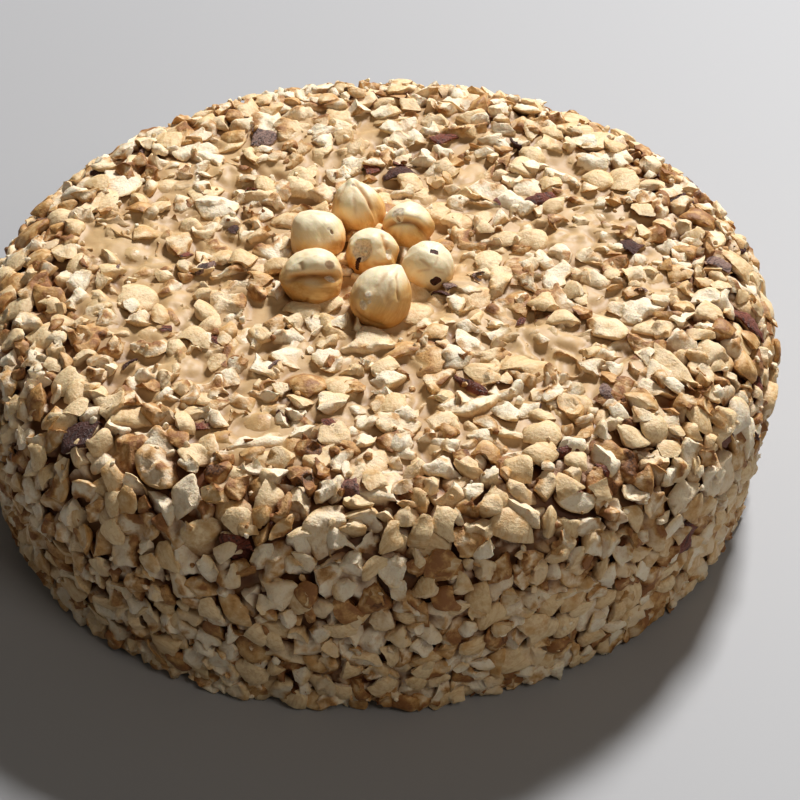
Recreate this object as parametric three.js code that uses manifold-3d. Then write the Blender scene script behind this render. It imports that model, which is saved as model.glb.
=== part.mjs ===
// A round ice cream cake: a drum of ice cream under a coffee-coloured cream, its top and side covered with
// chopped hazelnuts, and seven whole blanched hazelnuts set in the middle of the top.
// Millimetres, +Z up. The origin is on the cake's axis, in the plane of its flat underside.
// +X is to the right and -Y towards someone who looks at the cake from the front.
import * as THREE from "three";
import { mergeVertices } from "three/addons/utils/BufferGeometryUtils.js";
import Module from "manifold-3d";

// ---- Driving dimensions ----------------------------------------------------------------------------------

const CREAM_RADIUS = 92; // the drum of cream at its widest, just under the shoulder
const CREAM_HEIGHT = 50.8; // the flat of the cream on top
const SHOULDER_RADIUS = 18; // how the top rolls over into the side
const SIDE_LEAN = THREE.MathUtils.degToRad(8); // the side draws in towards the foot
const OUT_OF_ROUND = 1.1; // spread by hand: wider on one diagonal and narrower on the other
const WIDE_DIAGONAL = THREE.MathUtils.degToRad(45);

const CHUNK_PITCH = 7.7; // from one chopped piece to the next
const CHUNK_RISE = [1.7, 4.3]; // how far the chopped pieces stand out of the cream
const CHUNK_TILT = 1.2; // how much higher one end of a piece may stand
const CHUNK_SHARE = [0.55, 0.82]; // how far a piece's top reaches towards its neighbours
const CHUNK_CORNERS = [3, 4, 4, 4, 5]; // a cut piece has mostly four corners
const GULLY_RISE = 0.7; // how uneven the cream is between the pieces
const FLOOR_CLEARANCE = 0.6; // the lowest pieces end just above the underside
const SITE_JITTER = 0.24; // of the pitch: how far a piece lies from an even spacing
const RING_WANDER = 0.35; // of the pitch: how far the rings of pieces wander in and out
const WANDERS = 5; // in one turn
const WANDER_LAG = 0.7; // from one ring to the next

const NUT_SINK = 1.0; // the whole nuts are pressed this far into the cream
const NUT_GAP = 0.3; // between a whole nut and the hollow it has made
const NUT_COLUMNS = 16;
const NUT_ROWS = 10;

// The places where the cream shows bare, as the distance over the surface from the middle of the top, the
// bearing from +X, and the size across.
const BARE_CREAM = [
  { reach: 72, bearing: 166, across: 17 },
  { reach: 61, bearing: 158, across: 13 },
  { reach: 47, bearing: 128, across: 9 },
  { reach: 58, bearing: 90, across: 9 },
  { reach: 66, bearing: 49, across: 11 },
  { reach: 45, bearing: 62, across: 10 },
  { reach: 60, bearing: 16, across: 11 },
  { reach: 45, bearing: 328, across: 13 },
  { reach: 30, bearing: 320, across: 11 },
  { reach: 66, bearing: 318, across: 12 },
  { reach: 57, bearing: 218, across: 12 },
  { reach: 81, bearing: 214, across: 11 },
  { reach: 89, bearing: 226, across: 15 },
  { reach: 71, bearing: 241, across: 12 },
  { reach: 98, bearing: 287, across: 12 },
  { reach: 112, bearing: 233, across: 13 },
  { reach: 104, bearing: 120, across: 12 },
  { reach: 117, bearing: 20, across: 12 },
];

// The whole nuts: where each one's middle lies, its width and length, the way its tip points, and the side
// that its crease is on, with how deep the crease is.
const WHOLE_NUTS = {
  middle: { at: [-0.8, 3.8], width: 12.6, length: 13.4, tip: [-0.28, -0.57, 0.78], crease: [0.6, -0.5, 0.4], depth: 0.5 },
  front: { at: [1.3, -14.8], width: 14.2, length: 15.6, tip: [0.5, 0.37, 0.77], crease: [0.9, -0.6, 0.2], depth: 0.35 },
  front_left: { at: [-14.5, -6.8], width: 14.2, length: 14.8, tip: [-0.9, -0.3, 0.2], crease: [0.1, -0.75, 0.65], depth: 1.3 },
  left: { at: [-13.7, 9.5], width: 13.6, length: 13.8, tip: [-0.6, 0.6, 0.5], crease: [0.8, -0.2, 0.5], depth: 0.4 },
  back: { at: [-4.2, 20.9], width: 13, length: 14.2, tip: [-0.35, 0.45, 0.8], crease: [0.75, -0.5, 0.3], depth: 0.9 },
  back_right: { at: [7.8, 14.8], width: 12.4, length: 13, tip: [-0.27, -0.44, 0.85], crease: [0.9, -0.5, -0.1], depth: 1.1 },
  right: { at: [12.3, -1.4], width: 12.6, length: 12.6, tip: [0.1, -0.72, 0.68], crease: [-0.5, -0.3, 0.8], depth: 0.35 },
};

const CREAM_COLOUR = 0xc9a377;
const NUT_COLOUR = 0xdcb981;

// ---- Small helpers ---------------------------------------------------------------------------------------

const FULL_TURN = 2 * Math.PI;

// An even spread of numbers from 0 to 1 that depends only on which piece it is for and what it is for.
function chance(row, place, use) {
  const wave = Math.sin(row * 12.9898 + place * 78.233 + use * 37.719) * 43758.5453;
  return wave - Math.floor(wave);
}

function between([low, high], share) {
  return low + (high - low) * share;
}

function turnFrom(angle, start) {
  return (((angle - start) % FULL_TURN) + FULL_TURN) % FULL_TURN;
}

// ---- The cream's surface ---------------------------------------------------------------------------------

const FLAT_REACH = CREAM_RADIUS - SHOULDER_RADIUS;
const SHOULDER_REACH = SHOULDER_RADIUS * (Math.PI / 2 + SIDE_LEAN);
const SHOULDER_FOOT = CREAM_HEIGHT - SHOULDER_RADIUS * (1 + Math.sin(SIDE_LEAN));
const FULL_REACH = FLAT_REACH + SHOULDER_REACH + SHOULDER_FOOT / Math.cos(SIDE_LEAN);

// The cream's outline at a distance over the surface from the middle of the top: its radius and height, and
// the outward direction there.
function outlineAt(reach) {
  if (reach <= FLAT_REACH) return { radius: reach, height: CREAM_HEIGHT, out: 0, up: 1 };
  const roll = Math.min((reach - FLAT_REACH) / SHOULDER_RADIUS, Math.PI / 2 + SIDE_LEAN);
  const down = Math.max(0, reach - FLAT_REACH - SHOULDER_REACH);
  return {
    radius: FLAT_REACH + SHOULDER_RADIUS * Math.sin(roll) - down * Math.sin(SIDE_LEAN),
    height: CREAM_HEIGHT - SHOULDER_RADIUS * (1 - Math.cos(roll)) - down * Math.cos(SIDE_LEAN),
    out: Math.sin(roll),
    up: Math.cos(roll),
  };
}

// A point that stands off the cream by a given rise.
function surfacePoint(reach, bearing, rise) {
  const { radius, height, out, up } = outlineAt(reach);
  const lopsided = OUT_OF_ROUND * Math.cos(2 * (bearing - WIDE_DIAGONAL)) * Math.min(1, radius / CREAM_RADIUS);
  const reached = radius + lopsided + rise * out;
  return new THREE.Vector3(reached * Math.cos(bearing), reached * Math.sin(bearing), height + rise * up);
}

// The directions on the surface at a point: along a ring, towards the middle of the top, and outwards.
function frameAt(reach, bearing) {
  const { out, up } = outlineAt(reach);
  const normal = new THREE.Vector3(out * Math.cos(bearing), out * Math.sin(bearing), up);
  const along = new THREE.Vector3(-Math.sin(bearing), Math.cos(bearing), 0);
  return { along, inward: normal.clone().cross(along), normal };
}

// ---- Chopped nuts on the cream ---------------------------------------------------------------------------

// The middles of the chopped pieces, in rings from the middle of the top to the foot of the side.
function chunkRings() {
  const count = Math.round(FULL_REACH / CHUNK_PITCH);
  const step = FULL_REACH / count;
  return Array.from({ length: count }, (_, row) => {
    const even = (row + 0.5) * step;
    const places = Math.max(3, Math.round((FULL_TURN * outlineAt(even).radius) / CHUNK_PITCH));
    const freedom = row + 1 < count ? 1 : 0.3;
    return Array.from({ length: places }, (_unused, place) => {
      const along = place + chance(row, 0, 2) + (chance(row, place, 3) - 0.5) * 2 * SITE_JITTER;
      const bearing = (along / places) * FULL_TURN;
      const wander = RING_WANDER * Math.sin(WANDERS * bearing + WANDER_LAG * row) * freedom;
      const jitter = (chance(row, place, 1) - 0.5) * 2 * SITE_JITTER;
      return { row, place, bearing, reach: even + (wander + jitter) * step };
    });
  });
}

// The triangles between two closed rings of items that each have an angle, the inner ring first. Each edge of
// one ring is joined to the nearest item of the other.
function stitch(inner, outer, angleOf) {
  const start = angleOf(inner[0]);
  const unroll = (ring) => {
    const turns = ring.map((item) => ({ item, turn: turnFrom(angleOf(item), start) })).sort((a, b) => a.turn - b.turn);
    return [...turns, { item: turns[0].item, turn: turns[0].turn + FULL_TURN }];
  };
  const [near, far] = [unroll(inner), unroll(outer)];
  const triangles = [];
  let i = 0;
  let j = 0;
  while (i < inner.length || j < outer.length) {
    const nearMiddle = i < inner.length ? near[i].turn + near[i + 1].turn : Infinity;
    const farMiddle = j < outer.length ? far[j].turn + far[j + 1].turn : Infinity;
    if (farMiddle <= nearMiddle) {
      triangles.push([near[i].item, far[j].item, far[j + 1].item]);
      j += 1;
    } else {
      triangles.push([near[i].item, far[j].item, near[i + 1].item]);
      i += 1;
    }
  }
  return triangles;
}

// How far a ray from the middle of a flat outline runs before it meets the outline.
function rayReach(outline, angle) {
  const [dx, dy] = [Math.cos(angle), Math.sin(angle)];
  let nearest = Infinity;
  outline.forEach((a, index) => {
    const b = outline[(index + 1) % outline.length];
    const [ex, ey] = [b.x - a.x, b.y - a.y];
    const cross = dx * ey - dy * ex;
    if (Math.abs(cross) < 1e-9) return;
    const distance = (a.x * ey - a.y * ex) / cross;
    const along = (a.x * dy - a.y * dx) / cross;
    if (distance > 0 && along >= -1e-9 && along <= 1 + 1e-9) nearest = Math.min(nearest, distance);
  });
  return nearest;
}

function isBare(site, point) {
  const clearOfNuts = Object.values(WHOLE_NUTS).some(
    ({ at, width }) => site.reach < FLAT_REACH && Math.hypot(point.x - at[0], point.y - at[1]) < width * 0.5,
  );
  const onPatch = BARE_CREAM.some(({ reach, bearing, across }) => {
    const angle = THREE.MathUtils.degToRad(bearing);
    return point.distanceTo(surfacePoint(reach, angle, 0)) < across / 2;
  });
  return clearOfNuts || onPatch;
}

// The cream with a chopped piece in each cell of a network of gullies, as one closed surface.
function nuttedCream() {
  const vertices = [];
  const triangles = [];
  const addVertex = (point) => vertices.push(point) - 1;
  const rings = chunkRings();
  rings.flat().forEach((site) => (site.gullies = []));

  // A gully runs through the middle of every three neighbouring pieces.
  const trios = [rings[0].slice(0, 3)];
  rings.slice(1).forEach((ring, index) => trios.push(...stitch(rings[index], ring, (site) => site.bearing)));
  trios.forEach((trio, index) => {
    const middle = index === 0 ? 0 : trio.reduce((sum, site) => sum + site.reach / 3, 0);
    const east = trio.reduce((sum, site) => sum + Math.cos(site.bearing), 0);
    const north = trio.reduce((sum, site) => sum + Math.sin(site.bearing), 0);
    const rise = GULLY_RISE * (chance(index, 7, 4) - 0.3);
    const gully = addVertex(surfacePoint(middle, Math.atan2(north, east), rise));
    trio.forEach((site) => site.gullies.push(gully));
  });

  // The lowest ring ends on the flat underside.
  const lowest = rings[rings.length - 1];
  const foot = lowest.map((site, place) => {
    const next = lowest[(place + 1) % lowest.length];
    const bearing = site.bearing + turnFrom(next.bearing, site.bearing) / 2;
    const vertex = addVertex(surfacePoint(FULL_REACH, bearing, 0).setZ(0));
    site.gullies.push(vertex);
    next.gullies.push(vertex);
    return vertex;
  });
  const under = addVertex(new THREE.Vector3(0, 0, 0));
  foot.forEach((vertex, place) => triangles.push([under, foot[(place + 1) % foot.length], vertex]));

  for (const site of rings.flat()) {
    const middle = new THREE.Vector3();
    site.gullies.forEach((vertex) => middle.addScaledVector(vertices[vertex], 1 / site.gullies.length));
    const frame = frameAt(site.reach, site.bearing);
    const flat = (vertex) => {
      const offset = vertices[vertex].clone().sub(middle);
      return { vertex, x: offset.dot(frame.along), y: offset.dot(frame.inward) };
    };
    const cell = site.gullies.map(flat);
    cell.forEach((corner) => (corner.angle = Math.atan2(corner.y, corner.x)));
    cell.sort((a, b) => a.angle - b.angle);
    const use = (number) => chance(site.row, site.place, number);
    if (isBare(site, middle)) {
      const hump = addVertex(middle.clone().addScaledVector(frame.normal, GULLY_RISE * use(5)));
      cell.forEach((corner, index) => triangles.push([hump, corner.vertex, cell[(index + 1) % cell.length].vertex]));
      continue;
    }
    const count = CHUNK_CORNERS[Math.floor(use(6) * CHUNK_CORNERS.length)];
    const rise = between(CHUNK_RISE, use(7));
    const tiltWay = use(8) * FULL_TURN;
    const first = use(9) * FULL_TURN;
    const top = Array.from({ length: count }, (_, corner) => {
      const angle = first + ((corner + 0.4 * (use(10 + corner) - 0.5)) * FULL_TURN) / count;
      const reach = rayReach(cell, angle) * between(CHUNK_SHARE, use(20 + corner));
      const height = rise + CHUNK_TILT * Math.cos(angle - tiltWay) + 0.8 * (use(30 + corner) - 0.5);
      const point = middle
        .clone()
        .addScaledVector(frame.along, reach * Math.cos(angle))
        .addScaledVector(frame.inward, reach * Math.sin(angle))
        .addScaledVector(frame.normal, Math.max(height, GULLY_RISE));
      point.z = Math.max(point.z, FLOOR_CLEARANCE);
      return { vertex: addVertex(point), angle };
    });
    for (let corner = 1; corner + 1 < count; corner += 1) {
      triangles.push([top[0].vertex, top[corner].vertex, top[corner + 1].vertex]);
    }
    for (const side of stitch(top, cell, (corner) => corner.angle)) {
      triangles.push(side.map((corner) => corner.vertex));
    }
  }
  const geometry = new THREE.BufferGeometry();
  geometry.setAttribute("position", new THREE.Float32BufferAttribute(vertices.flatMap((v) => v.toArray()), 3));
  geometry.setIndex(triangles.flat());
  return geometry;
}

// ---- Whole nuts ------------------------------------------------------------------------------------------

// A blanched kernel about its own middle: a flattened base, a blunt tip at +Z, and a crease down one side.
// Every measure grows by the given allowance, so that the same shape also makes the hollow that it lies in.
function kernel({ width, length, crease, depth, tip }, allowance) {
  const geometry = new THREE.SphereGeometry(1, NUT_COLUMNS, NUT_ROWS);
  geometry.rotateX(Math.PI / 2);
  const turn = tipTurn(tip);
  const side = new THREE.Vector3(...crease).applyQuaternion(turn.clone().invert());
  const creaseBearing = Math.atan2(side.y, side.x);
  const position = geometry.getAttribute("position");
  const point = new THREE.Vector3();
  for (let index = 0; index < position.count; index += 1) {
    point.fromBufferAttribute(position, index);
    const { x, y, z } = point;
    const away = turnFrom(Math.atan2(y, x) - creaseBearing + Math.PI, 0) - Math.PI;
    const groove = depth * Math.exp(-((away / 0.3) ** 2)) * (1 - z * z);
    const radius = (width / 2) * (1 - 0.06 * z) + allowance - groove;
    const height = (length / 2) * (z < 0 ? 1 - 0.1 * z * z : 1 + 0.07 * z ** 7) + allowance;
    position.setXYZ(index, x * radius, y * radius, z * height);
  }
  geometry.applyQuaternion(turn);
  geometry.computeVertexNormals();
  return geometry;
}

function tipTurn(tip) {
  return new THREE.Quaternion().setFromUnitVectors(new THREE.Vector3(0, 0, 1), new THREE.Vector3(...tip).normalize());
}

// The middle of a whole nut, low enough for its underside to sink into the cream.
function nutPlace({ at }, geometry) {
  geometry.computeBoundingBox();
  return new THREE.Vector3(at[0], at[1], CREAM_HEIGHT - NUT_SINK - geometry.boundingBox.min.z);
}

// ---- Cutting ---------------------------------------------------------------------------------------------

const solids = await Module();
solids.setup();

function solidOf(geometry) {
  const bare = new THREE.BufferGeometry();
  bare.setAttribute("position", geometry.getAttribute("position"));
  bare.setIndex(geometry.getIndex());
  const merged = mergeVertices(bare, 1e-3);
  return new solids.Manifold(
    new solids.Mesh({
      numProp: 3,
      vertProperties: merged.getAttribute("position").array,
      triVerts: new Uint32Array(merged.getIndex().array),
    }),
  );
}

function geometryOf(solid) {
  const mesh = solid.getMesh();
  const geometry = new THREE.BufferGeometry();
  geometry.setAttribute("position", new THREE.Float32BufferAttribute(mesh.vertProperties, 3));
  geometry.setIndex([...mesh.triVerts]);
  geometry.computeVertexNormals();
  return geometry;
}

// ---- The cake --------------------------------------------------------------------------------------------

const cake = new THREE.Group();
const nutFinish = new THREE.MeshStandardMaterial({ color: NUT_COLOUR, roughness: 0.5, metalness: 0 });

let body = solidOf(nuttedCream());
for (const [name, nut] of Object.entries(WHOLE_NUTS)) {
  const geometry = kernel(nut, 0);
  const place = nutPlace(nut, geometry);
  const whole = new THREE.Mesh(geometry, nutFinish);
  whole.name = `hazelnut_${name}`;
  whole.position.copy(place);
  cake.add(whole);
  body = body.subtract(solidOf(kernel(nut, NUT_GAP)).translate(place.toArray()));
}

const creamFinish = new THREE.MeshStandardMaterial({ color: CREAM_COLOUR, roughness: 0.6, metalness: 0 });
const cakeBody = new THREE.Mesh(geometryOf(body), creamFinish);
cakeBody.name = "cake_body";
cake.add(cakeBody);

export default cake;
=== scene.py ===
"""A round ice cream cake in coffee cream, covered with chopped hazelnuts, with seven whole hazelnuts on top.

Shapes are worked out in millimetres and stored in metres. +X is to the right, -Y towards the front, +Z up.
"""

import logging
import math
from dataclasses import dataclass, field
from enum import Enum
from typing import Any

import bpy
import numpy as np
from mathutils import Matrix, Vector


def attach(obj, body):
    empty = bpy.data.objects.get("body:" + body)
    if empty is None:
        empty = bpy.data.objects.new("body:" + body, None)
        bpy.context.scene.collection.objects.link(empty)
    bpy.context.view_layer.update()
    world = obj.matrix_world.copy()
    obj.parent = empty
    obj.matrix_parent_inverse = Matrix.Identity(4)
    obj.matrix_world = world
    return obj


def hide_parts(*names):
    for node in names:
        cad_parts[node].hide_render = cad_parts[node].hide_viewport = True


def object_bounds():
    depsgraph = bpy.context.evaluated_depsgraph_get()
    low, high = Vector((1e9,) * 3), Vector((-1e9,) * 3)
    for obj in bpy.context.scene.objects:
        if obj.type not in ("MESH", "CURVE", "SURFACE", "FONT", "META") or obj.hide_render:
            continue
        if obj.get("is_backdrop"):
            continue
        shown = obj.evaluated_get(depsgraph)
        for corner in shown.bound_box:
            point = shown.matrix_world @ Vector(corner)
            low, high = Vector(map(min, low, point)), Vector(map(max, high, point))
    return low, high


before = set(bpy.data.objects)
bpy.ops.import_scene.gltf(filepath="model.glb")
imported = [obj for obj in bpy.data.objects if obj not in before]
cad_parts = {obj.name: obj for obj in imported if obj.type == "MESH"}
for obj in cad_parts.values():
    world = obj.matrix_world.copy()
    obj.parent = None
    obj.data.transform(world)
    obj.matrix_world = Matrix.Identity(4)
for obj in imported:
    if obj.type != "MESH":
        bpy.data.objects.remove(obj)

log = logging.getLogger("cake")

MILLIMETRE = 0.001
FULL_TURN = 2 * math.pi

Array = np.ndarray
Piece = bpy.types.Object
Triple = tuple[float, float, float]
Pixel = tuple[float, float]


# ---- Small helpers ---------------------------------------------------------------------------


def chance(row: float, place: float, use: float) -> float:
    """An even draw from 0 to 1 that depends only on what it is for.

    Args:
        row: The ring that the piece lies in.
        place: Its place along the ring.
        use: What the draw decides.

    Returns:
        The number drawn.
    """
    wave = math.sin(row * 12.9898 + place * 78.233 + use * 37.719) * 43758.5453
    return wave - math.floor(wave)


def between(low: float, high: float, share: float) -> float:
    """The number at a share of the way from low to high."""
    return low + (high - low) * share


def turn_from(angle: float, start: float) -> float:
    """How far a turn from start runs, forwards, to reach angle."""
    return (angle - start) % FULL_TURN


def soft_step(value: Array, low: float, high: float) -> Array:
    """0 below low, 1 above high and a smooth rise between them."""
    t = np.clip((np.asarray(value, float) - low) / (high - low), 0.0, 1.0)
    return t * t * (3 - 2 * t)


def unit(vector: Any) -> Array:
    """The vector at length 1."""
    vector = np.asarray(vector, float)
    return vector / np.linalg.norm(vector)


def ripple(points: Array, size: float, seed: int, waves: int = 9) -> Array:
    """A smooth uneven field made of plane waves.

    Args:
        points: Where it is wanted, one row each, in millimetres.
        size: The length of a typical wave.
        seed: Which field it is.
        waves: How many waves are added up.

    Returns:
        A value from about -1 to 1 for each point.
    """
    draw = np.random.default_rng(seed)
    total = np.zeros(len(points))
    for _ in range(waves):
        way = unit(draw.normal(size=3)) * FULL_TURN / (size * draw.uniform(0.7, 1.5))
        total += np.sin(points @ way + draw.uniform(0, FULL_TURN))
    return total / math.sqrt(waves) / 1.5


def add_object(name: str, data: Any) -> Piece:
    """An object that holds some data, put into the scene."""
    made = bpy.data.objects.new(name, data)
    bpy.context.scene.collection.objects.link(made)
    return made


def deselect_all() -> None:
    """Leaves edit mode and selects nothing."""
    if bpy.context.object and bpy.context.object.mode != "OBJECT":
        bpy.ops.object.mode_set(mode="OBJECT")
    bpy.ops.object.select_all(action="DESELECT")


def take_up(piece: Piece) -> None:
    """Makes a piece the only one selected, and the active one."""
    deselect_all()
    piece.select_set(True)
    bpy.context.view_layer.objects.active = piece


def apply_modifier(piece: Piece, kind: str, **settings: Any) -> None:
    """Adds a modifier with its settings and applies it.

    Args:
        piece: The mesh that it shapes.
        kind: The modifier's type.
        **settings: Its settings by name.
    """
    take_up(piece)
    bpy.ops.object.modifier_add(type=kind)
    modifier = piece.modifiers[-1]
    for name, value in settings.items():
        setattr(modifier, name, value)
    bpy.ops.object.modifier_apply(modifier=modifier.name)


def read_points(mesh: bpy.types.Mesh) -> Array:
    """A mesh's vertices, one row each."""
    flat = np.empty(len(mesh.vertices) * 3, np.float32)
    mesh.vertices.foreach_get("co", flat)
    return flat.reshape(-1, 3).astype(float)


def read_triangles(mesh: bpy.types.Mesh) -> Array:
    """A mesh's faces as triangles of vertex numbers, one row each."""
    mesh.calc_loop_triangles()
    flat = np.empty(len(mesh.loop_triangles) * 3, np.int32)
    mesh.loop_triangles.foreach_get("vertices", flat)
    return flat.reshape(-1, 3)


def write_points(mesh: bpy.types.Mesh, points: Array) -> None:
    """Moves a mesh's vertices."""
    mesh.vertices.foreach_set("co", points.astype(np.float32).ravel())
    mesh.update()


def write_look(mesh: bpy.types.Mesh, name: str, values: Array) -> None:
    """Stores four numbers for each vertex, which a finish reads by name."""
    attribute = mesh.color_attributes.new(name=name, type="FLOAT_COLOR", domain="POINT")
    attribute.data.foreach_set("color", values.astype(np.float32).ravel())


def new_mesh_object(name: str, points: Array, triangles: Array) -> Piece:
    """A mesh object from joined arrays.

    Args:
        name: The piece's name.
        points: Its vertices in millimetres.
        triangles: Its faces, as vertex numbers.

    Returns:
        The object, in the scene, shaded smooth.
    """
    mesh = bpy.data.meshes.new(name)
    mesh.vertices.add(len(points))
    mesh.vertices.foreach_set("co", (points * MILLIMETRE).astype(np.float32).ravel())
    mesh.loops.add(triangles.size)
    mesh.loops.foreach_set("vertex_index", triangles.astype(np.int32).ravel())
    mesh.polygons.add(len(triangles))
    mesh.polygons.foreach_set("loop_start", np.arange(0, triangles.size, 3, dtype=np.int32))
    mesh.update(calc_edges=True)
    mesh.shade_smooth()
    return add_object(name, mesh)


# ---- The way the cake is seen ----------------------------------------------------------------


@dataclass(frozen=True)
class PhotoView:
    """The camera of the photograph, in the cake's frame, in millimetres."""

    place: Triple = (1.283, -510.5, 431.81)
    pitch: float = 0.68509
    turn: float = 0.0070739
    focal: float = 2693.0
    side: float = 800.0
    sensor: float = 36.0

    def axes(self) -> tuple[Array, Array, Array]:
        """The directions to the right of the picture, to its top and into it."""
        level = np.array([0.0, math.cos(self.pitch), -math.sin(self.pitch)])
        top = np.array([0.0, math.sin(self.pitch), math.cos(self.pitch)])
        across = np.array([1.0, 0.0, 0.0])
        into = level * math.cos(self.turn) + across * math.sin(self.turn)
        right = across * math.cos(self.turn) - level * math.sin(self.turn)
        return right, top, into

    def pixel(self, point: Array) -> Array:
        """The pixel that shows a point."""
        right, top, into = self.axes()
        offset = np.asarray(point, float) - np.array(self.place)
        depth = offset @ into
        half = self.side / 2
        across = half + self.focal * (offset @ right) / depth
        return np.array([across, half - self.focal * (offset @ top) / depth])

    def ray(self, pixel: Pixel) -> Array:
        """The direction in which a pixel looks."""
        right, top, into = self.axes()
        half = self.side / 2
        return unit(into + right * (pixel[0] - half) / self.focal - top * (pixel[1] - half) / self.focal)

    def faces(self, point: Array, normal: Array) -> Array:
        """Whether a surface at a point, or at each of many, is turned to the camera."""
        return ((np.array(self.place) - point) * normal).sum(axis=-1) > 0

    def build(self) -> None:
        """Adds the camera and makes it the scene's."""
        lens = bpy.data.cameras.new("photo_view")
        lens.sensor_width = self.sensor
        lens.lens = self.focal * self.sensor / self.side
        lens.clip_start = 0.01
        lens.clip_end = 10.0
        camera = add_object("photo_view", lens)
        right, top, into = self.axes()
        turned = Matrix((right, top, -into)).transposed().to_4x4()
        camera.matrix_world = Matrix.Translation(Vector(self.place) * MILLIMETRE) @ turned
        bpy.context.scene.camera = camera


# ---- The cream's outline and where the nuts lie on it ----------------------------------------


@dataclass(frozen=True)
class CreamOutline:
    """The smooth drum of cream under the nuts, in millimetres."""

    radius: float = 92.0
    height: float = 50.8
    shoulder: float = 18.0
    lean: float = math.radians(8)
    out_of_round: float = 1.1
    wide_diagonal: float = math.radians(45)

    @property
    def flat_reach(self) -> float:
        """From the middle of the top to where the shoulder starts."""
        return self.radius - self.shoulder

    @property
    def shoulder_reach(self) -> float:
        """The length of the shoulder's curve."""
        return self.shoulder * (math.pi / 2 + self.lean)

    @property
    def shoulder_foot(self) -> float:
        """The height at which the shoulder ends."""
        return self.height - self.shoulder * (1 + math.sin(self.lean))

    @property
    def full_reach(self) -> float:
        """From the middle of the top to the foot, over the surface."""
        return self.flat_reach + self.shoulder_reach + self.shoulder_foot / math.cos(self.lean)

    def profile(self, reach: Any) -> tuple[Array, Array, Array, Array]:
        """The outline at a distance over the surface from the middle of the top.

        Args:
            reach: That distance.

        Returns:
            The radius, the height, and how much the surface faces outwards and upwards there.
        """
        reach = np.asarray(reach, float)
        roll = np.clip((reach - self.flat_reach) / self.shoulder, 0.0, math.pi / 2 + self.lean)
        down = np.maximum(0.0, reach - self.flat_reach - self.shoulder_reach)
        radius = np.minimum(reach, self.flat_reach) + self.shoulder * np.sin(roll)
        radius = radius - down * math.sin(self.lean)
        height = self.height - self.shoulder * (1 - np.cos(roll)) - down * math.cos(self.lean)
        return radius, height, np.sin(roll), np.cos(roll)

    def surface(self, reach: Any, bearing: Any, rise: Any) -> Array:
        """Points that stand off the cream.

        Args:
            reach: Their distance over the surface from the middle of the top.
            bearing: Their direction from the axis.
            rise: How far they stand off.

        Returns:
            The points, one row each.
        """
        radius, height, out, up = self.profile(reach)
        lopsided = self.out_of_round * np.cos(2 * (np.asarray(bearing) - self.wide_diagonal))
        reached = radius + lopsided * np.minimum(1.0, radius / self.radius) + rise * out
        return np.stack([reached * np.cos(bearing), reached * np.sin(bearing), height + rise * up], axis=-1)

    def normals(self, reach: Array, bearing: Array) -> Array:
        """The directions in which the cream faces, one row each."""
        _, _, out, up = self.profile(reach)
        return np.column_stack([out * np.cos(bearing), out * np.sin(bearing), up])

    def axes(self, reach: float, bearing: float) -> Array:
        """The directions along a ring, towards the middle of the top and outwards, one row each."""
        _, _, out, up = self.profile(reach)
        normal = np.array([out * math.cos(bearing), out * math.sin(bearing), up])
        along = np.array([-math.sin(bearing), math.cos(bearing), 0.0])
        return np.stack([along, np.cross(normal, along), normal])

    def reach_of(self, radius: Array, height: Array) -> Array:
        """The distance over the surface at points on the outline."""
        roll = np.arctan2(radius - self.flat_reach, height - (self.height - self.shoulder))
        on_shoulder = self.flat_reach + self.shoulder * roll
        on_side = self.flat_reach + self.shoulder_reach + (self.shoulder_foot - height) / math.cos(self.lean)
        reach = np.where(height < self.shoulder_foot, on_side, on_shoulder)
        return np.where((radius < self.flat_reach) & (height > self.height - 0.001), radius, reach)


@dataclass(frozen=True)
class Patch:
    """A round place on the cream, by its distance over the surface and its bearing, in degrees."""

    reach: float
    bearing: float
    across: float


BARE_CREAM = tuple(
    Patch(*row)
    for row in (
        (72, 166, 17), (61, 158, 13), (47, 128, 9), (58, 90, 9), (66, 49, 11), (45, 62, 10),
        (60, 16, 11), (45, 328, 13), (30, 320, 11), (66, 318, 12), (57, 218, 12), (81, 214, 11),
        (89, 226, 15), (71, 241, 12),
    )
)


@dataclass(frozen=True)
class Spread:
    """An oval of thick cream, where a photograph from the front shows it, in pixels.

    Attributes:
        pixel: Its middle.
        half: Half its width and height.
        rise: How high the cream stands there, in millimetres.
        over: The share of the nuts in it that the cream covers.
    """

    pixel: Pixel
    half: tuple[float, float]
    rise: float
    over: float = 0.2


SPREADS = tuple(
    Spread(*row)
    for row in (
        ((128, 243), (62, 34), 1.2, 0.6), ((160, 176), (24, 9), 1.0, 0.3), ((228, 180), (15, 9), 1.1),
        ((272, 172), (15, 9), 1.1), ((367, 143), (15, 9), 1.1), ((474, 176), (13, 9), 1.1),
        ((549, 148), (16, 9), 1.1), ((600, 238), (54, 32), 0.5, 0.55), ((612, 240), (9, 7), 1.1, 0.3),
        ((464, 292), (20, 12), 1.0, 0.3), ((458, 328), (24, 9), 1.1, 0.3),
        ((545, 345), (46, 16), 0.5, 0.6), ((520, 360), (13, 9), 1.0, 0.3), ((118, 450), (17, 15), 1.6),
        ((108, 395), (11, 11), 1.2), ((147, 486), (12, 12), 1.2), ((186, 371), (17, 10), 1.2),
        ((240, 461), (18, 9), 1.2), ((98, 310), (26, 11), 0.7, 0.5), ((190, 308), (34, 14), 0.7, 0.5),
        ((300, 365), (20, 9), 0.7), ((400, 420), (12, 8), 0.7), ((463, 520), (9, 15), 1.2),
        ((577, 410), (12, 9), 1.1), ((660, 300), (30, 14), 0.5, 0.4),
    )
)


@dataclass(frozen=True)
class WholeNutPlan:
    """Where a whole nut lies and how it is turned, as the solids have it."""

    name: str
    at: tuple[float, float]
    width: float
    length: float
    tip: Triple
    crease: Triple
    depth: float


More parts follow.
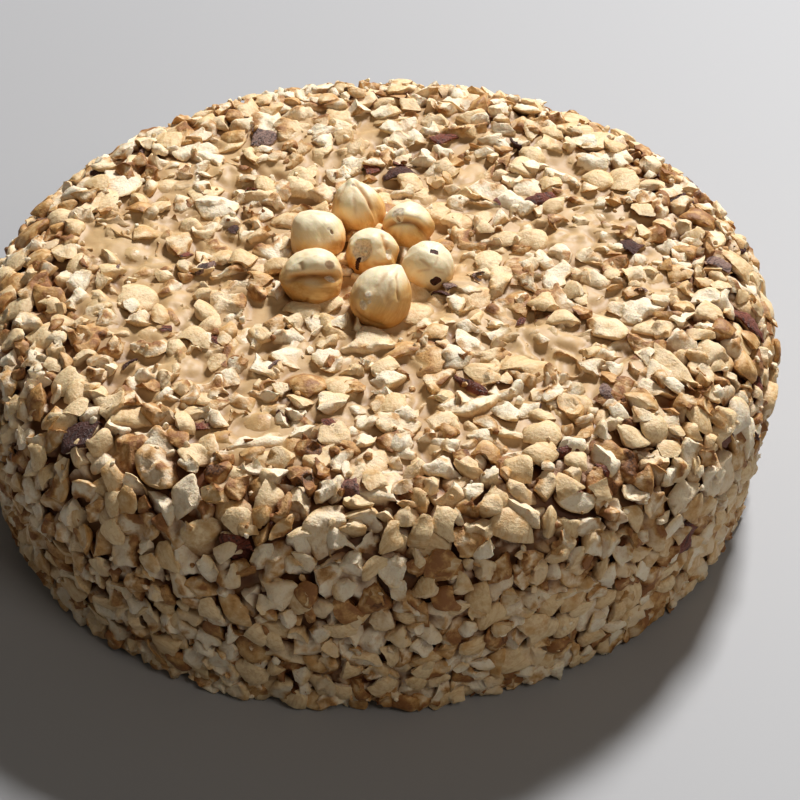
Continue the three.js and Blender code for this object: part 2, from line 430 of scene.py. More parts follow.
WHOLE_NUTS = (
    WholeNutPlan("middle", (-0.8, 3.8), 12.6, 13.4, (-0.28, -0.57, 0.78), (0.6, -0.5, 0.4), 0.5),
    WholeNutPlan("front", (1.3, -14.8), 14.2, 15.6, (0.5, 0.37, 0.77), (0.9, -0.6, 0.2), 0.35),
    WholeNutPlan("front_left", (-14.5, -6.8), 14.2, 14.8, (-0.9, -0.3, 0.2), (0.1, -0.75, 0.65), 1.3),
    WholeNutPlan("left", (-13.7, 9.5), 13.6, 13.8, (-0.6, 0.6, 0.5), (0.8, -0.2, 0.5), 0.4),
    WholeNutPlan("back", (-4.2, 20.9), 13.0, 14.2, (-0.35, 0.45, 0.8), (0.75, -0.5, 0.3), 0.9),
    WholeNutPlan("back_right", (7.8, 14.8), 12.4, 13.0, (-0.27, -0.44, 0.85), (0.9, -0.5, -0.1), 1.1),
    WholeNutPlan("right", (12.3, -1.4), 12.6, 12.6, (0.1, -0.72, 0.68), (-0.5, -0.3, 0.8), 0.35),
)


@dataclass
class Site:
    """The place of one chopped piece, with the gullies round it."""

    row: int
    place: int
    reach: float
    bearing: float
    gullies: list[int] = field(default_factory=list)
    middle: Array = field(default_factory=lambda: np.zeros(3))
    axes: Array = field(default_factory=lambda: np.eye(3))
    span: float = 4.0
    bare: bool = False

    def draw(self, use: float) -> float:
        """An even draw from 0 to 1 for one use."""
        return chance(self.row, self.place, use)


@dataclass
class NutBed:
    """The network of chopped pieces on the cream: the same rule as the solids have."""

    outline: CreamOutline
    pitch: float = 7.7
    rise: tuple[float, float] = (1.7, 4.3)
    gully_rise: float = 0.7
    jitter: float = 0.24
    wander: float = 0.35
    wanders: int = 5
    wander_lag: float = 0.7
    sites: list[Site] = field(default_factory=list)
    gullies: list[Array] = field(default_factory=list)

    def _rings(self) -> list[list[Site]]:
        """The places of the pieces, in rings from the middle of the top to the foot."""
        count = round(self.outline.full_reach / self.pitch)
        step = self.outline.full_reach / count
        rings = []
        for row in range(count):
            even = (row + 0.5) * step
            places = max(3, math.floor(FULL_TURN * float(self.outline.profile(even)[0]) / self.pitch + 0.5))
            freedom = 1.0 if row + 1 < count else 0.3
            ring = []
            for place in range(places):
                along = place + chance(row, 0, 2) + (chance(row, place, 3) - 0.5) * 2 * self.jitter
                bearing = along / places * FULL_TURN
                wander = self.wander * math.sin(self.wanders * bearing + self.wander_lag * row) * freedom
                jitter = (chance(row, place, 1) - 0.5) * 2 * self.jitter
                ring.append(Site(row, place, even + (wander + jitter) * step, bearing))
            rings.append(ring)
        return rings

    @staticmethod
    def _stitch(inner: list[Site], outer: list[Site]) -> list[tuple[Site, Site, Site]]:
        """The triangles between two rings, each edge joined to the nearest site of the other ring."""
        start = inner[0].bearing

        def unroll(ring: list[Site]) -> list[tuple[float, Site]]:
            turns = [(turn_from(site.bearing, start), site) for site in ring]
            turns.sort(key=lambda pair: pair[0])
            return [*turns, (turns[0][0] + FULL_TURN, turns[0][1])]

        near, far = unroll(inner), unroll(outer)
        triangles = []
        i = j = 0
        while i < len(inner) or j < len(outer):
            near_middle = near[i][0] + near[i + 1][0] if i < len(inner) else math.inf
            far_middle = far[j][0] + far[j + 1][0] if j < len(outer) else math.inf
            if far_middle <= near_middle:
                triangles.append((near[i][1], far[j][1], far[j + 1][1]))
                j += 1
            else:
                triangles.append((near[i][1], far[j][1], near[i + 1][1]))
                i += 1
        return triangles

    def patch_middle(self, patch: Patch) -> Array:
        """The point on the cream in the middle of a patch."""
        return self.outline.surface(patch.reach, math.radians(patch.bearing), 0.0)

    def _is_bare(self, site: Site) -> bool:
        """Whether a site lies under a whole nut or on a bare patch."""
        for nut in WHOLE_NUTS:
            apart = math.hypot(site.middle[0] - nut.at[0], site.middle[1] - nut.at[1])
            if site.reach < self.outline.flat_reach and apart < nut.width * 0.5:
                return True
        for patch in BARE_CREAM:
            if np.linalg.norm(site.middle - self.patch_middle(patch)) < patch.across / 2:
                return True
        return False

    def build(self) -> None:
        """Works out every site and gully."""
        rings = self._rings()
        trios = [tuple(rings[0][:3])]
        for inner, outer in zip(rings, rings[1:]):
            trios.extend(self._stitch(inner, outer))
        for index, trio in enumerate(trios):
            middle = 0.0 if index == 0 else sum(site.reach for site in trio) / 3
            east = sum(math.cos(site.bearing) for site in trio)
            north = sum(math.sin(site.bearing) for site in trio)
            rise = self.gully_rise * (chance(index, 7, 4) - 0.3)
            for site in trio:
                site.gullies.append(len(self.gullies))
            self.gullies.append(self.outline.surface(middle, math.atan2(north, east), rise))
        lowest = rings[-1]
        for site, after in zip(lowest, lowest[1:] + lowest[:1]):
            bearing = site.bearing + turn_from(after.bearing, site.bearing) / 2
            foot = self.outline.surface(self.outline.full_reach, bearing, 0.0)
            foot[2] = 0.0
            site.gullies.append(len(self.gullies))
            after.gullies.append(len(self.gullies))
            self.gullies.append(foot)
        for site in (site for ring in rings for site in ring):
            corners = np.array([self.gullies[number] for number in site.gullies])
            site.middle = corners.mean(axis=0)
            site.axes = self.outline.axes(site.reach, site.bearing)
            site.span = float(np.linalg.norm(corners - site.middle, axis=1).mean())
            site.bare = self._is_bare(site)
            self.sites.append(site)


# ---- Chopping the nuts -----------------------------------------------------------------------


@dataclass(frozen=True)
class Chopping:
    """How finely a kernel is chopped, and which of its pieces is kept.

    Attributes:
        pieces: How many pieces a kernel falls into.
        flat: How much closer than otherwise the cuts are in one direction.
        longest: The least and greatest length that is kept, in millimetres.
        thinnest: The same for the least thickness.
        faces: How many triangles the shape has.
        grid: How finely it is remeshed.
        bites: The chance of a hollow break.
        shapes: How many shapes there are to copy.
        wrinkles: How rough the kernel's outside is, in millimetres.
        petal: Whether the kernel's outside has to be the broad side.
    """

    pieces: int
    flat: float
    longest: tuple[float, float]
    thinnest: tuple[float, float]
    faces: int
    grid: float
    bites: float
    shapes: int
    wrinkles: float = 0.04
    petal: bool = False


class Cut(Enum):
    """The kinds of chopped piece."""

    BLOCK = Chopping(9, 1.0, (7.0, 9.6), (4.2, 6.2), 450, 0.3, 0.7, 26)
    CHUNK = Chopping(5, 1.0, (9.0, 11.6), (5.2, 7.2), 640, 0.34, 0.6, 8)
    SLAB = Chopping(8, 1.2, (7.4, 10.8), (3.2, 4.9), 480, 0.28, 0.4, 16, 0.05, True)
    WEDGE = Chopping(10, 0.55, (8.4, 11.8), (3.4, 5.2), 440, 0.28, 0.6, 12)
    NUGGET = Chopping(14, 1.0, (5.8, 8.0), (3.6, 5.4), 220, 0.26, 0.6, 22)
    DICE = Chopping(24, 1.0, (4.5, 6.8), (2.8, 4.6), 150, 0.24, 0.5, 24)
    GRIT = Chopping(70, 1.0, (2.6, 4.4), (1.6, 2.9), 70, 0.2, 0.0, 14)
    SKIN = Chopping(12, 1.2, (5.4, 8.6), (2.8, 4.8), 560, 0.24, 0.2, 9, 0.17, True)


@dataclass
class Chip:
    """One chopped shape, lying on its broad side about its own middle, in millimetres."""

    points: Array
    triangles: Array
    make: Array
    grain: Array
    half: Array
    hollow_up: bool


# Points drawn in a kernel to find its pieces, the fewest that make one, how unevenly the cuts run, and the
# fineness of the balls that are cut and taken out.
SAMPLES = 3600
FEWEST_SAMPLES = 25
CUT_UNEVEN = 0.09
KERNEL_LEVEL = 4
HOLLOW_LEVEL = 3

# The hollow's half sizes for a bit that has no hollow of its own, in millimetres.
NO_HOLLOW = np.full(3, 9.0)


@dataclass
class NutChopper:
    """Chops kernels as a chopper does: each falls into irregular pieces round its hollow."""

    kernel: Triple = (6.7, 6.4, 7.3)
    hollow: Triple = (3.1, 2.0, 4.2)
    seed: int = 20

    def __post_init__(self) -> None:
        """Starts the draws."""
        self.draw = np.random.default_rng(self.seed)

    def _ball(self, half: Triple, level: int, at: Any = (0, 0, 0)) -> Piece:
        """A ball of triangles with the given half sizes."""
        deselect_all()
        bpy.ops.mesh.primitive_ico_sphere_add(subdivisions=level, radius=1.0, location=at, scale=half)
        bpy.ops.object.transform_apply(location=True, rotation=False, scale=True)
        return bpy.context.object

    def _cut_off(self, piece: Piece, planes: list[tuple[Array, Array]], filled: bool = True) -> None:
        """Cuts a piece through points, keeps the side that each way points from and closes it if filled."""
        take_up(piece)
        bpy.ops.object.mode_set(mode="EDIT")
        for at, way in planes:
            bpy.ops.mesh.select_all(action="SELECT")
            bpy.ops.mesh.bisect(plane_co=at, plane_no=way, use_fill=filled, clear_outer=True)
        bpy.ops.object.mode_set(mode="OBJECT")

    def _take_out(self, piece: Piece, ball: Piece) -> None:
        """Takes a ball's shape out of a piece."""
        apply_modifier(piece, "BOOLEAN", operation="DIFFERENCE", object=ball, solver="EXACT")
        bpy.data.objects.remove(ball)

    def _break_up(self, plan: Chopping, hollow: Array) -> tuple[list[tuple[Array, Array]], Array]:
        """Breaks a kernel into pieces until one has the wanted size.

        Args:
            plan: How finely it is chopped and which sizes are kept.
            hollow: The half sizes of the hollow inside it.

        Returns:
            The cuts round the piece, and points inside it.
        """
        draw = self.draw
        kernel = np.array(self.kernel)
        while True:
            turned, _ = np.linalg.qr(draw.normal(size=(3, 3)))
            stretch = turned @ np.diag([1.0, 1.0, plan.flat]) @ turned.T
            seeds = draw.normal(size=(plan.pieces, 3))
            seeds *= (draw.random(plan.pieces) ** (1 / 3) / np.linalg.norm(seeds, axis=1))[:, None]
            seeds = (seeds * kernel * 0.92) @ stretch.T
            inside = draw.normal(size=(SAMPLES, 3))
            inside *= (draw.random(SAMPLES) ** (1 / 3) / np.linalg.norm(inside, axis=1))[:, None]
            inside *= kernel
            inside = inside[np.linalg.norm(inside / hollow, axis=1) > 1]
            apart = np.linalg.norm((inside @ stretch.T)[:, None] - seeds[None], axis=2)
            order = np.argsort(apart, axis=1)[:, :2]
            for number in draw.permutation(plan.pieces):
                own = order[:, 0] == number
                cell = inside[own]
                if len(cell) < FEWEST_SAMPLES:
                    continue
                middle = cell.mean(axis=0)
                _, _, axes = np.linalg.svd(cell - middle, full_matrices=False)
                size = np.ptp((cell - middle) @ axes.T, axis=0)
                if not plan.longest[0] < size[0] < plan.longest[1]:
                    continue
                if not plan.thinnest[0] < size[2] < plan.thinnest[1]:
                    continue
                if plan.pieces < 30 and np.linalg.norm(cell / kernel, axis=1).max() < 0.9:
                    continue
                if plan.petal and abs(axes[2] @ unit(middle)) < 0.85:
                    continue
                cuts = []
                for other in np.unique(order[own, 1]):
                    between_them = np.linalg.solve(stretch, (seeds[number] + seeds[other]) / 2)
                    way = stretch.T @ (seeds[other] - seeds[number])
                    cuts.append((between_them, unit(unit(way) + CUT_UNEVEN * draw.normal(size=3))))
                return cuts, cell

    def _off_kernel(self, points: Array) -> Array:
        """About how far points lie from the kernel's outside, in millimetres."""
        return np.abs(np.linalg.norm(points / np.array(self.kernel), axis=1) - 1) * self.kernel[0]

    def _make_of(self, points: Array, triangles: Array, hollow: Array) -> Array:
        """How much each vertex belongs to the kernel's outside, its hollow and a sharp rim."""
        outside = self._off_kernel(points)
        inside = np.abs(np.linalg.norm(points / hollow, axis=1) - 1) * 2.4
        total = np.zeros_like(points)
        count = np.zeros(len(points))
        for a, b in ((0, 1), (1, 2), (2, 0), (1, 0), (2, 1), (0, 2)):
            np.add.at(total, triangles[:, a], points[triangles[:, b]])
            np.add.at(count, triangles[:, a], 1)
        off = points - total / np.maximum(count, 1)[:, None]
        corners = points[triangles]
        flat = np.cross(corners[:, 1] - corners[:, 0], corners[:, 2] - corners[:, 0])
        normals = np.zeros_like(points)
        for corner in range(3):
            np.add.at(normals, triangles[:, corner], flat)
        normals /= np.maximum(np.linalg.norm(normals, axis=1), 1e-9)[:, None]
        sharp = np.einsum("ij,ij->i", off, normals)
        skin_side, hollow_side = 1 - soft_step(outside, 0.3, 0.8), 1 - soft_step(inside, 0.35, 0.9)
        return np.stack([skin_side, hollow_side, soft_step(sharp, 0.04, 0.24)], axis=1)

    def _lay_down(self, piece: Piece, hollow: Array) -> Chip:
        """Reads a chopped mesh and turns it on to its broad side."""
        points = read_points(piece.data)
        triangles = read_triangles(piece.data)
        make = self._make_of(points, triangles, hollow)
        bpy.data.objects.remove(piece)
        grain = points.copy()
        away = -(points.max(axis=0) + points.min(axis=0)) / 2
        points = points - points.mean(axis=0)
        _, _, axes = np.linalg.svd(points, full_matrices=False)
        if np.linalg.det(axes) < 0:
            axes[2] *= -1
        points = points @ axes.T
        points -= (points.max(axis=0) + points.min(axis=0)) / 2
        return Chip(points, triangles, make, grain, points.max(axis=0), bool((axes @ away)[2] > 0))

    def chop(self, plan: Chopping) -> Chip:
        """Makes one shape.

        Args:
            plan: How the kernel is chopped.

        Returns:
            The shape.
        """
        draw = self.draw
        hollow = np.array(self.hollow) * draw.uniform(0.55, 1.15)
        cuts, cell = self._break_up(plan, hollow)
        piece = self._ball(self.kernel, KERNEL_LEVEL)
        self._cut_off(piece, cuts)
        if np.linalg.norm(cell / hollow, axis=1).min() < 1.25:
            self._take_out(piece, self._ball(tuple(hollow), HOLLOW_LEVEL))
        if draw.random() < plan.bites:
            at, way = cuts[int(draw.integers(len(cuts)))]
            half = draw.uniform(2.2, 4.2)
            face = cell[np.argsort((cell - at) @ way)[-8:]].mean(axis=0)
            deep = draw.uniform(0.7, 1.5)
            bite = (half, half * 0.9, half * 1.2)
            self._take_out(piece, self._ball(bite, HOLLOW_LEVEL, face + way * (half - deep)))
        apply_modifier(piece, "REMESH", mode="VOXEL", voxel_size=plan.grid)
        apply_modifier(piece, "SMOOTH", factor=0.5, iterations=3)
        points = read_points(piece.data)
        seed = int(draw.integers(1 << 30))
        outside = 1 - soft_step(self._off_kernel(points), 0.2, 0.8)
        broken = 0.38 * ripple(points, 3.8, seed) + 0.19 * ripple(points, 1.8, seed + 1)
        skin_side = 0.18 * ripple(points, 4.5, seed + 2) + plan.wrinkles * ripple(points, 1.5, seed + 3)
        swell = np.where(plan.faces < 100, 0.5, 1.0) * (broken * (1 - outside) + skin_side * outside)
        normals = np.empty(len(points) * 3, np.float32)
        piece.data.vertex_normals.foreach_get("vector", normals)
        write_points(piece.data, points + normals.reshape(-1, 3) * swell[:, None])
        ratio = plan.faces / max(plan.faces, len(read_triangles(piece.data)))
        apply_modifier(piece, "DECIMATE", ratio=ratio, use_collapse_triangulate=True)
        return self._lay_down(piece, hollow)

    def crumb(self) -> Chip:
        """Makes one tiny broken bit."""
        half = tuple(self.draw.uniform(0.6, 1.5, size=3))
        piece = self._ball(half, 1)
        ways = [unit(self.draw.normal(size=3)) for _ in range(2)]
        self._cut_off(piece, [(way * self.draw.uniform(0.25, 0.7), way) for way in ways])
        apply_modifier(piece, "TRIANGULATE")
        return self._lay_down(piece, NO_HOLLOW)

    def husk(self) -> Chip:
        """Makes one curled bit of brown skin."""
        draw = self.draw
        piece = self._ball(self.kernel, KERNEL_LEVEL)
        out = unit(draw.normal(size=3)) * np.array(self.kernel)
        side = unit(np.cross(out, draw.normal(size=3)))
        other = unit(np.cross(out, side))
        planes = []
        for way in (side, -side, other, -other):
            lean = unit(way + 0.4 * draw.normal(size=3))
            planes.append((out + lean * draw.uniform(1.4, 3.2), lean))
        self._cut_off(piece, [*planes, (np.zeros(3), -unit(out))], filled=False)
        apply_modifier(piece, "SOLIDIFY", thickness=0.4, offset=-1.0)
        points = read_points(piece.data)
        seed = int(draw.integers(1 << 30))
        wrinkles = 0.05 * ripple(points, 4.0, seed) + 0.035 * ripple(points, 1.4, seed + 1)
        write_points(piece.data, points * (1 + wrinkles)[:, None])
        apply_modifier(piece, "DECIMATE", ratio=min(1.0, 220 / len(read_triangles(piece.data))))
        apply_modifier(piece, "TRIANGULATE")
        return self._lay_down(piece, NO_HOLLOW)


# ---- Scattering them -------------------------------------------------------------------------


class Look(Enum):
    """What a chopped piece looks like: its tone, how toasted it is and how much skin it keeps."""

    PALE = (0.25, 0.1, 0.0)
    GOLD = (0.5, 0.7, 0.0)
    BROWN = (0.5, 1.0, 0.0)
    SKINNED = (0.05, 0.3, 1.0)
    RED = (0.5, 0.5, 1.0)
    GREY = (0.95, 0.2, 1.0)


# Pieces with a look of their own, by where they show from the front. At one site, the last one counts.
MARKED_PIECES = (
    (353, 73, Look.RED), (96, 160, Look.SKINNED), (257, 137, Look.GREY), (445, 192, Look.BROWN),
    (672, 190, Look.SKINNED), (43, 227, Look.BROWN), (118, 348, Look.BROWN), (329, 428, Look.RED),
    (105, 480, Look.BROWN), (125, 472, Look.BROWN), (205, 428, Look.RED), (662, 350, Look.BROWN),
    (667, 487, Look.RED), (705, 485, Look.BROWN), (735, 487, Look.SKINNED), (750, 385, Look.RED),
    (770, 372, Look.SKINNED), (745, 322, Look.RED), (703, 335, Look.BROWN), (675, 545, Look.RED),
    (243, 552, Look.RED), (70, 543, Look.GOLD), (152, 510, Look.GOLD), (180, 520, Look.GOLD),
    (260, 248, Look.GOLD), (590, 560, Look.GOLD), (250, 395, Look.GOLD), (690, 240, Look.GOLD),
    (620, 130, Look.GOLD),
)


@dataclass(frozen=True)
class Feature:
    """A piece that stands out in the photograph.

    Attributes:
        pixel: Where it shows from the front.
        cut: Its kind.
        length: Its length in millimetres.
        turn: The angle of its length in the picture, in degrees, anticlockwise from the right.
        steep: How far it is tipped, in radians.
        hollow_up: Whether its broken side shows.
        look: Its look, where it isn't a plain pale one.
    """

    pixel: Pixel
    cut: Cut
    length: float
    turn: float
    steep: float = 0.15
    hollow_up: bool = True
    look: Look = Look.PALE


FEATURES = (
    Feature((445, 141), Cut.SKIN, 8.6, 20, 0.3, False, Look.RED),
    Feature((402, 176), Cut.SKIN, 10.0, 0, 0.3, False, Look.SKINNED),
    Feature((372, 173), Cut.SKIN, 6.4, 30, 0.4, False, Look.RED),
    Feature((522, 146), Cut.SKIN, 8.4, 25, 0.6, True, Look.SKINNED),
    Feature((182, 257), Cut.SKIN, 6.4, 160, 0.5, False, Look.RED),
    Feature((81, 437), Cut.SKIN, 10.0, 60, 0.4, False, Look.SKINNED),
    Feature((130, 367), Cut.SKIN, 6.0, 40, 0.8, False, Look.SKINNED),
    Feature((527, 412), Cut.SKIN, 7.0, 10, 0.2, True, Look.SKINNED),
    Feature((275, 371), Cut.SKIN, 6.6, 60, 0.9, False, Look.GREY),
    Feature((566, 455), Cut.SKIN, 6.0, 0, 0.6, False, Look.RED),
    Feature((232, 237), Cut.SKIN, 4.6, 30, 0.5, False, Look.SKINNED),
    Feature((400, 132), Cut.WEDGE, 10.6, 25),
    Feature((160, 465), Cut.SLAB, 12.6, 130, 0.5, True, Look.GOLD),
    Feature((545, 437), Cut.CHUNK, 11.4, 20, 0.2, False),
    Feature((652, 430), Cut.CHUNK, 8.8, 80, 0.3, False),
    Feature((287, 339), Cut.BLOCK, 8.6, 0),
    Feature((301, 317), Cut.SLAB, 9.4, 0, 0.1, False),
    Feature((441, 468), Cut.SLAB, 10.6, 10, 0.5),
    Feature((452, 447), Cut.WEDGE, 8.4, 70, 0.9),
    Feature((522, 457), Cut.CHUNK, 8.6, 0, 0.3),
    Feature((573, 499), Cut.SLAB, 9.4, 170, 0.4),
    Feature((541, 386), Cut.BLOCK, 7.4, 20),
    Feature((505, 394), Cut.BLOCK, 8.4, 10),
    Feature((64, 218), Cut.CHUNK, 10.0, 10, 0.2, False),
    Feature((218, 211), Cut.SLAB, 12.0, 170, 0.05),
    Feature((77, 304), Cut.SLAB, 8.6, 60, 0.3),
    Feature((106, 368), Cut.SLAB, 8.6, 120, 0.5),
    Feature((71, 384), Cut.BLOCK, 8.8, 20, 0.1, False),
    Feature((151, 377), Cut.BLOCK, 8.6, 0),
    Feature((211, 330), Cut.SLAB, 7.6, 20, 0.4, False),
    Feature((566, 181), Cut.CHUNK, 12.0, 165, 0.3),
    Feature((39, 288), Cut.SLAB, 12.4, 80, 0.4, True, Look.GOLD),
    Feature((191, 229), Cut.CHUNK, 8.4, 20, 0.2, False),
    Feature((118, 347), Cut.SLAB, 9.0, 80, 0.6, True, Look.BROWN),
    Feature((302, 183), Cut.BLOCK, 8.4, 165, 0.2, False),
    Feature((468, 348), Cut.WEDGE, 8.8, 150, 0.3),
    Feature((386, 382), Cut.BLOCK, 9.2, 5, 0.2),
    Feature((265, 399), Cut.SLAB, 9.0, 160, 0.4),
    Feature((195, 458), Cut.SLAB, 9.0, 0, 0.2, False),
    Feature((716, 258), Cut.SLAB, 10.4, 150, 0.4, True, Look.GOLD),
    Feature((733, 440), Cut.SLAB, 10.0, 110, 0.5, True, Look.GOLD),
    Feature((392, 565), Cut.SLAB, 9.0, 120, 0.5),
    Feature((303, 547), Cut.BLOCK, 9.0, 60, 0.4, False),
    Feature((437, 385), Cut.SLAB, 9.4, 40, 0.5, True, Look.GOLD),
)

# Flakes of skin: where they show from the front, their length in millimetres and their look.
FLAKES = (
    (630, 250, 8.0, Look.SKINNED), (479, 283, 5.6, Look.GREY), (451, 293, 5.0, Look.GREY),
    (440, 298, 4.6, Look.SKINNED), (455, 280, 3.6, Look.SKINNED), (207, 274, 6.0, Look.GREY),
    (162, 337, 5.6, Look.RED), (606, 402, 5.0, Look.GREY), (243, 552, 5.2, Look.RED),
    (497, 208, 3.6, Look.RED), (253, 199, 4.6, Look.RED), (148, 262, 3.4, Look.RED),
    (115, 274, 3.6, Look.GREY), (218, 345, 4.0, Look.RED), (328, 430, 5.0, Look.RED),
    (640, 300, 4.0, Look.GREY), (735, 258, 4.4, Look.SKINNED), (520, 330, 3.8, Look.RED),
    (600, 470, 4.0, Look.RED), (390, 240, 3.6, Look.SKINNED),
)


@dataclass
class Pile:
    """How high everything stands on the cream so far, on a map unrolled from the middle of the top.

    Attributes:
        outline: The cream's outline.
        cell: The side of one of the map's cells, in millimetres.
        half: Half the map's side.
        cream_sink: How far a piece sinks into cream.
        underside: The share of a piece's points that can rest on something.
        support: The share of those that stay clear of what it rests on, before it settles in.
    """

    outline: CreamOutline
    cell: float = 0.5
    half: float = 154.0
    cream_sink: float = 2.1
    underside: float = 0.55
    support: float = 0.62

    def __post_init__(self) -> None:
        """Starts with nothing on the cream."""
        self.side = int(2 * self.half / self.cell)
        ticks = (np.arange(self.side) + 0.5) * self.cell - self.half
        self.east, self.north = np.meshgrid(ticks, ticks)
        self.reach = np.hypot(self.east, self.north)
        maps = (np.zeros(self.east.shape) for _ in range(5))
        self.top, self.coated, self.cream, self.thick, self.over = maps

    def rippled(self, size: float, seed: int) -> Array:
        """A smooth uneven field over the map, with waves of a size in millimetres."""
        flat = np.column_stack([self.east.ravel(), self.north.ravel(), np.zeros(self.east.size)])
        return ripple(flat, size, seed).reshape(self.east.shape)

    def spread_cream(self, view: PhotoView) -> None:
        """Works out how high the cream stands before it closes round the nuts.

        Args:
            view: The camera whose pixels the spreads are given in.
        """
        outline = self.outline
        bearing = np.arctan2(self.north, self.east).ravel()
        reach = np.minimum(self.reach.ravel(), outline.full_reach)
        seen_at = outline.surface(reach, bearing, 1.0)
        shown = view.faces(seen_at, outline.normals(reach, bearing))
        across, down = view.pixel(seen_at)
        for spread in SPREADS:
            (column, row), (wide, high) = spread.pixel, spread.half
            apart = np.hypot((across - column) / wide, (down - row) / high)
            inside = ((1 - soft_step(apart, 0.5, 1.15)) * shown).reshape(self.east.shape)
            self.thick = np.maximum(self.thick, inside * spread.rise)
            self.over = np.maximum(self.over, inside * spread.over)
        for patch in BARE_CREAM:
            x = patch.reach * math.cos(math.radians(patch.bearing))
            y = patch.reach * math.sin(math.radians(patch.bearing))
            apart = np.hypot(self.east - x, self.north - y) / patch.across
            self.thick = np.maximum(self.thick, 1.2 * (1 - soft_step(apart, 0.15, 0.5)))
        rolling = 0.4 * self.rippled(21, 5) + 0.28 * self.rippled(8, 6)
        on_top = 1 - soft_step(self.reach, 64, 84)
        self.cream = rolling - 0.5 + 2.1 * on_top + self.thick * (0.75 + 0.1 * on_top)
        for nut in WHOLE_NUTS:
            apart = np.hypot(self.east - nut.at[0], self.north - nut.at[1])
            climb = 1.6 * (1 - soft_step(apart, nut.width * 0.4, nut.width * 0.62))
            self.cream = np.maximum(self.cream, climb)

    def close_cream(self) -> None:
        """Lets the cream climb round the nuts and over those that it covers."""
        proud = self.blurred((self.top > self.cream + 0.5).astype(float), 0.85)
        self.cream += 1.1 * soft_step(proud, 0.1, 0.85)
        covered = self.blurred(self.coated, 0.5)
        self.cream = np.maximum(self.cream, covered + 0.3 * soft_step(covered, 0.3, 1.2))
        # The height round each point, blurred, from which the painted shade between pieces is worked out.
        self.around = self.blurred(np.maximum(self.top, self.cream), 2.0)

    def depth(self, points: Array) -> Array:
        """How deep points lie between what stands round them, from 0 to 1: the share of painted shade that
        the finishes put there.
        """
        _, _, rise = self.unroll(points)
        return soft_step(self.read(self.around, points) - rise, -0.2, 2.6)

    def unroll(self, points: Array) -> tuple[Array, Array, Array]:
        """Where points lie on the map, in millimetres, and how far they stand off the cream's outline."""
        outline = self.outline
        radius = np.hypot(points[:, 0], points[:, 1])
        bearing = np.arctan2(points[:, 1], points[:, 0])
        lopsided = outline.out_of_round * np.cos(2 * (bearing - outline.wide_diagonal))
        radius = radius - lopsided * np.minimum(1.0, radius / outline.radius)
        out = radius - outline.flat_reach
        up = points[:, 2] - (outline.height - outline.shoulder)
        roll = np.arctan2(out, up)
        lean = outline.lean
        from_foot = out - outline.shoulder * math.cos(lean)
        drop = points[:, 2] - outline.shoulder_foot
        down = -from_foot * math.sin(lean) - drop * math.cos(lean)
        beside = from_foot * math.cos(lean) - drop * math.sin(lean)
        on_top = out <= 0
        on_side = ~on_top & (roll > math.pi / 2 + lean)
        reach = np.where(on_top, radius, outline.flat_reach + outline.shoulder * roll)
        reach = np.where(on_side, outline.flat_reach + outline.shoulder_reach + down, reach)
        rise = np.where(on_top, points[:, 2] - outline.height, np.hypot(out, up) - outline.shoulder)
        rise = np.where(on_side, beside, rise)
        return reach * np.cos(bearing), reach * np.sin(bearing), rise

    def cells(self, east: Array, north: Array) -> tuple[Array, Array]:
        """The map's cells at places given in millimetres."""
        column = np.clip((east + self.half) / self.cell, 0, self.side - 1).astype(int)
        row = np.clip((north + self.half) / self.cell, 0, self.side - 1).astype(int)
        return row, column

    def sampled(self, points: Array, triangles: Array) -> Array:
        """A mesh's vertices with points spread over its faces."""
        a, b, c = (points[triangles[:, corner]] for corner in range(3))
        return np.concatenate([points, (a + b + c) / 3, (a + b) / 2, (b + c) / 2, (c + a) / 2])

    def rest(self, points: Array, sink: float) -> tuple[float, float]:
        """How far a piece moves off the cream to rest on what is there.

        Args:
            points: Points all over the piece.
            sink: How deep it settles in.

        Returns:
            The move, and how high its top then stands.
        """
        east, north, rise = self.unroll(points)
        row, column = self.cells(east, north)
        low = rise < np.quantile(rise, self.underside)
        cream = self.cream[row[low], column[low]] - self.cream_sink
        ground = np.maximum(self.top[row[low], column[low]], cream)
        gap = ground - rise[low]
        move = float(np.quantile(gap, self.support)) - sink
        return move, float(rise.max()) + move

    def lay(self, points: Array, coated: bool = False) -> None:
        """Raises the map to a piece that has come to rest."""
        east, north, rise = self.unroll(points)
        row, column = self.cells(east, north)
        np.maximum.at(self.coated if coated else self.top, (row, column), rise)

    def blurred(self, field_of: Array, spread: float) -> Array:
        """A map with each value spread out over its neighbours, by a distance in millimetres."""
        steps = np.fft.fftfreq(self.side) * self.side * self.cell
        bell = np.exp(-0.5 * (steps / spread) ** 2)
        bell = np.outer(bell, bell)
        return np.fft.irfft2(np.fft.rfft2(field_of) * np.fft.rfft2(bell / bell.sum()), s=field_of.shape)

    def read(self, field_of: Array, points: Array) -> Array:
        """A map's values at points near the cream, evened between its cells."""
        east, north, _ = self.unroll(points)
        x = np.clip((east + self.half) / self.cell - 0.5, 0, self.side - 1.001)
        y = np.clip((north + self.half) / self.cell - 0.5, 0, self.side - 1.001)
        column, row = x.astype(int), y.astype(int)
        fx, fy = x - column, y - row
        lower = field_of[row, column] * (1 - fx) + field_of[row, column + 1] * fx
        upper = field_of[row + 1, column] * (1 - fx) + field_of[row + 1, column + 1] * fx
        return lower * (1 - fy) + upper * fy

    def read_one(self, field_of: Array, point: Array) -> float:
        """A map's value at one point."""
        return float(self.read(field_of, point[None])[0])


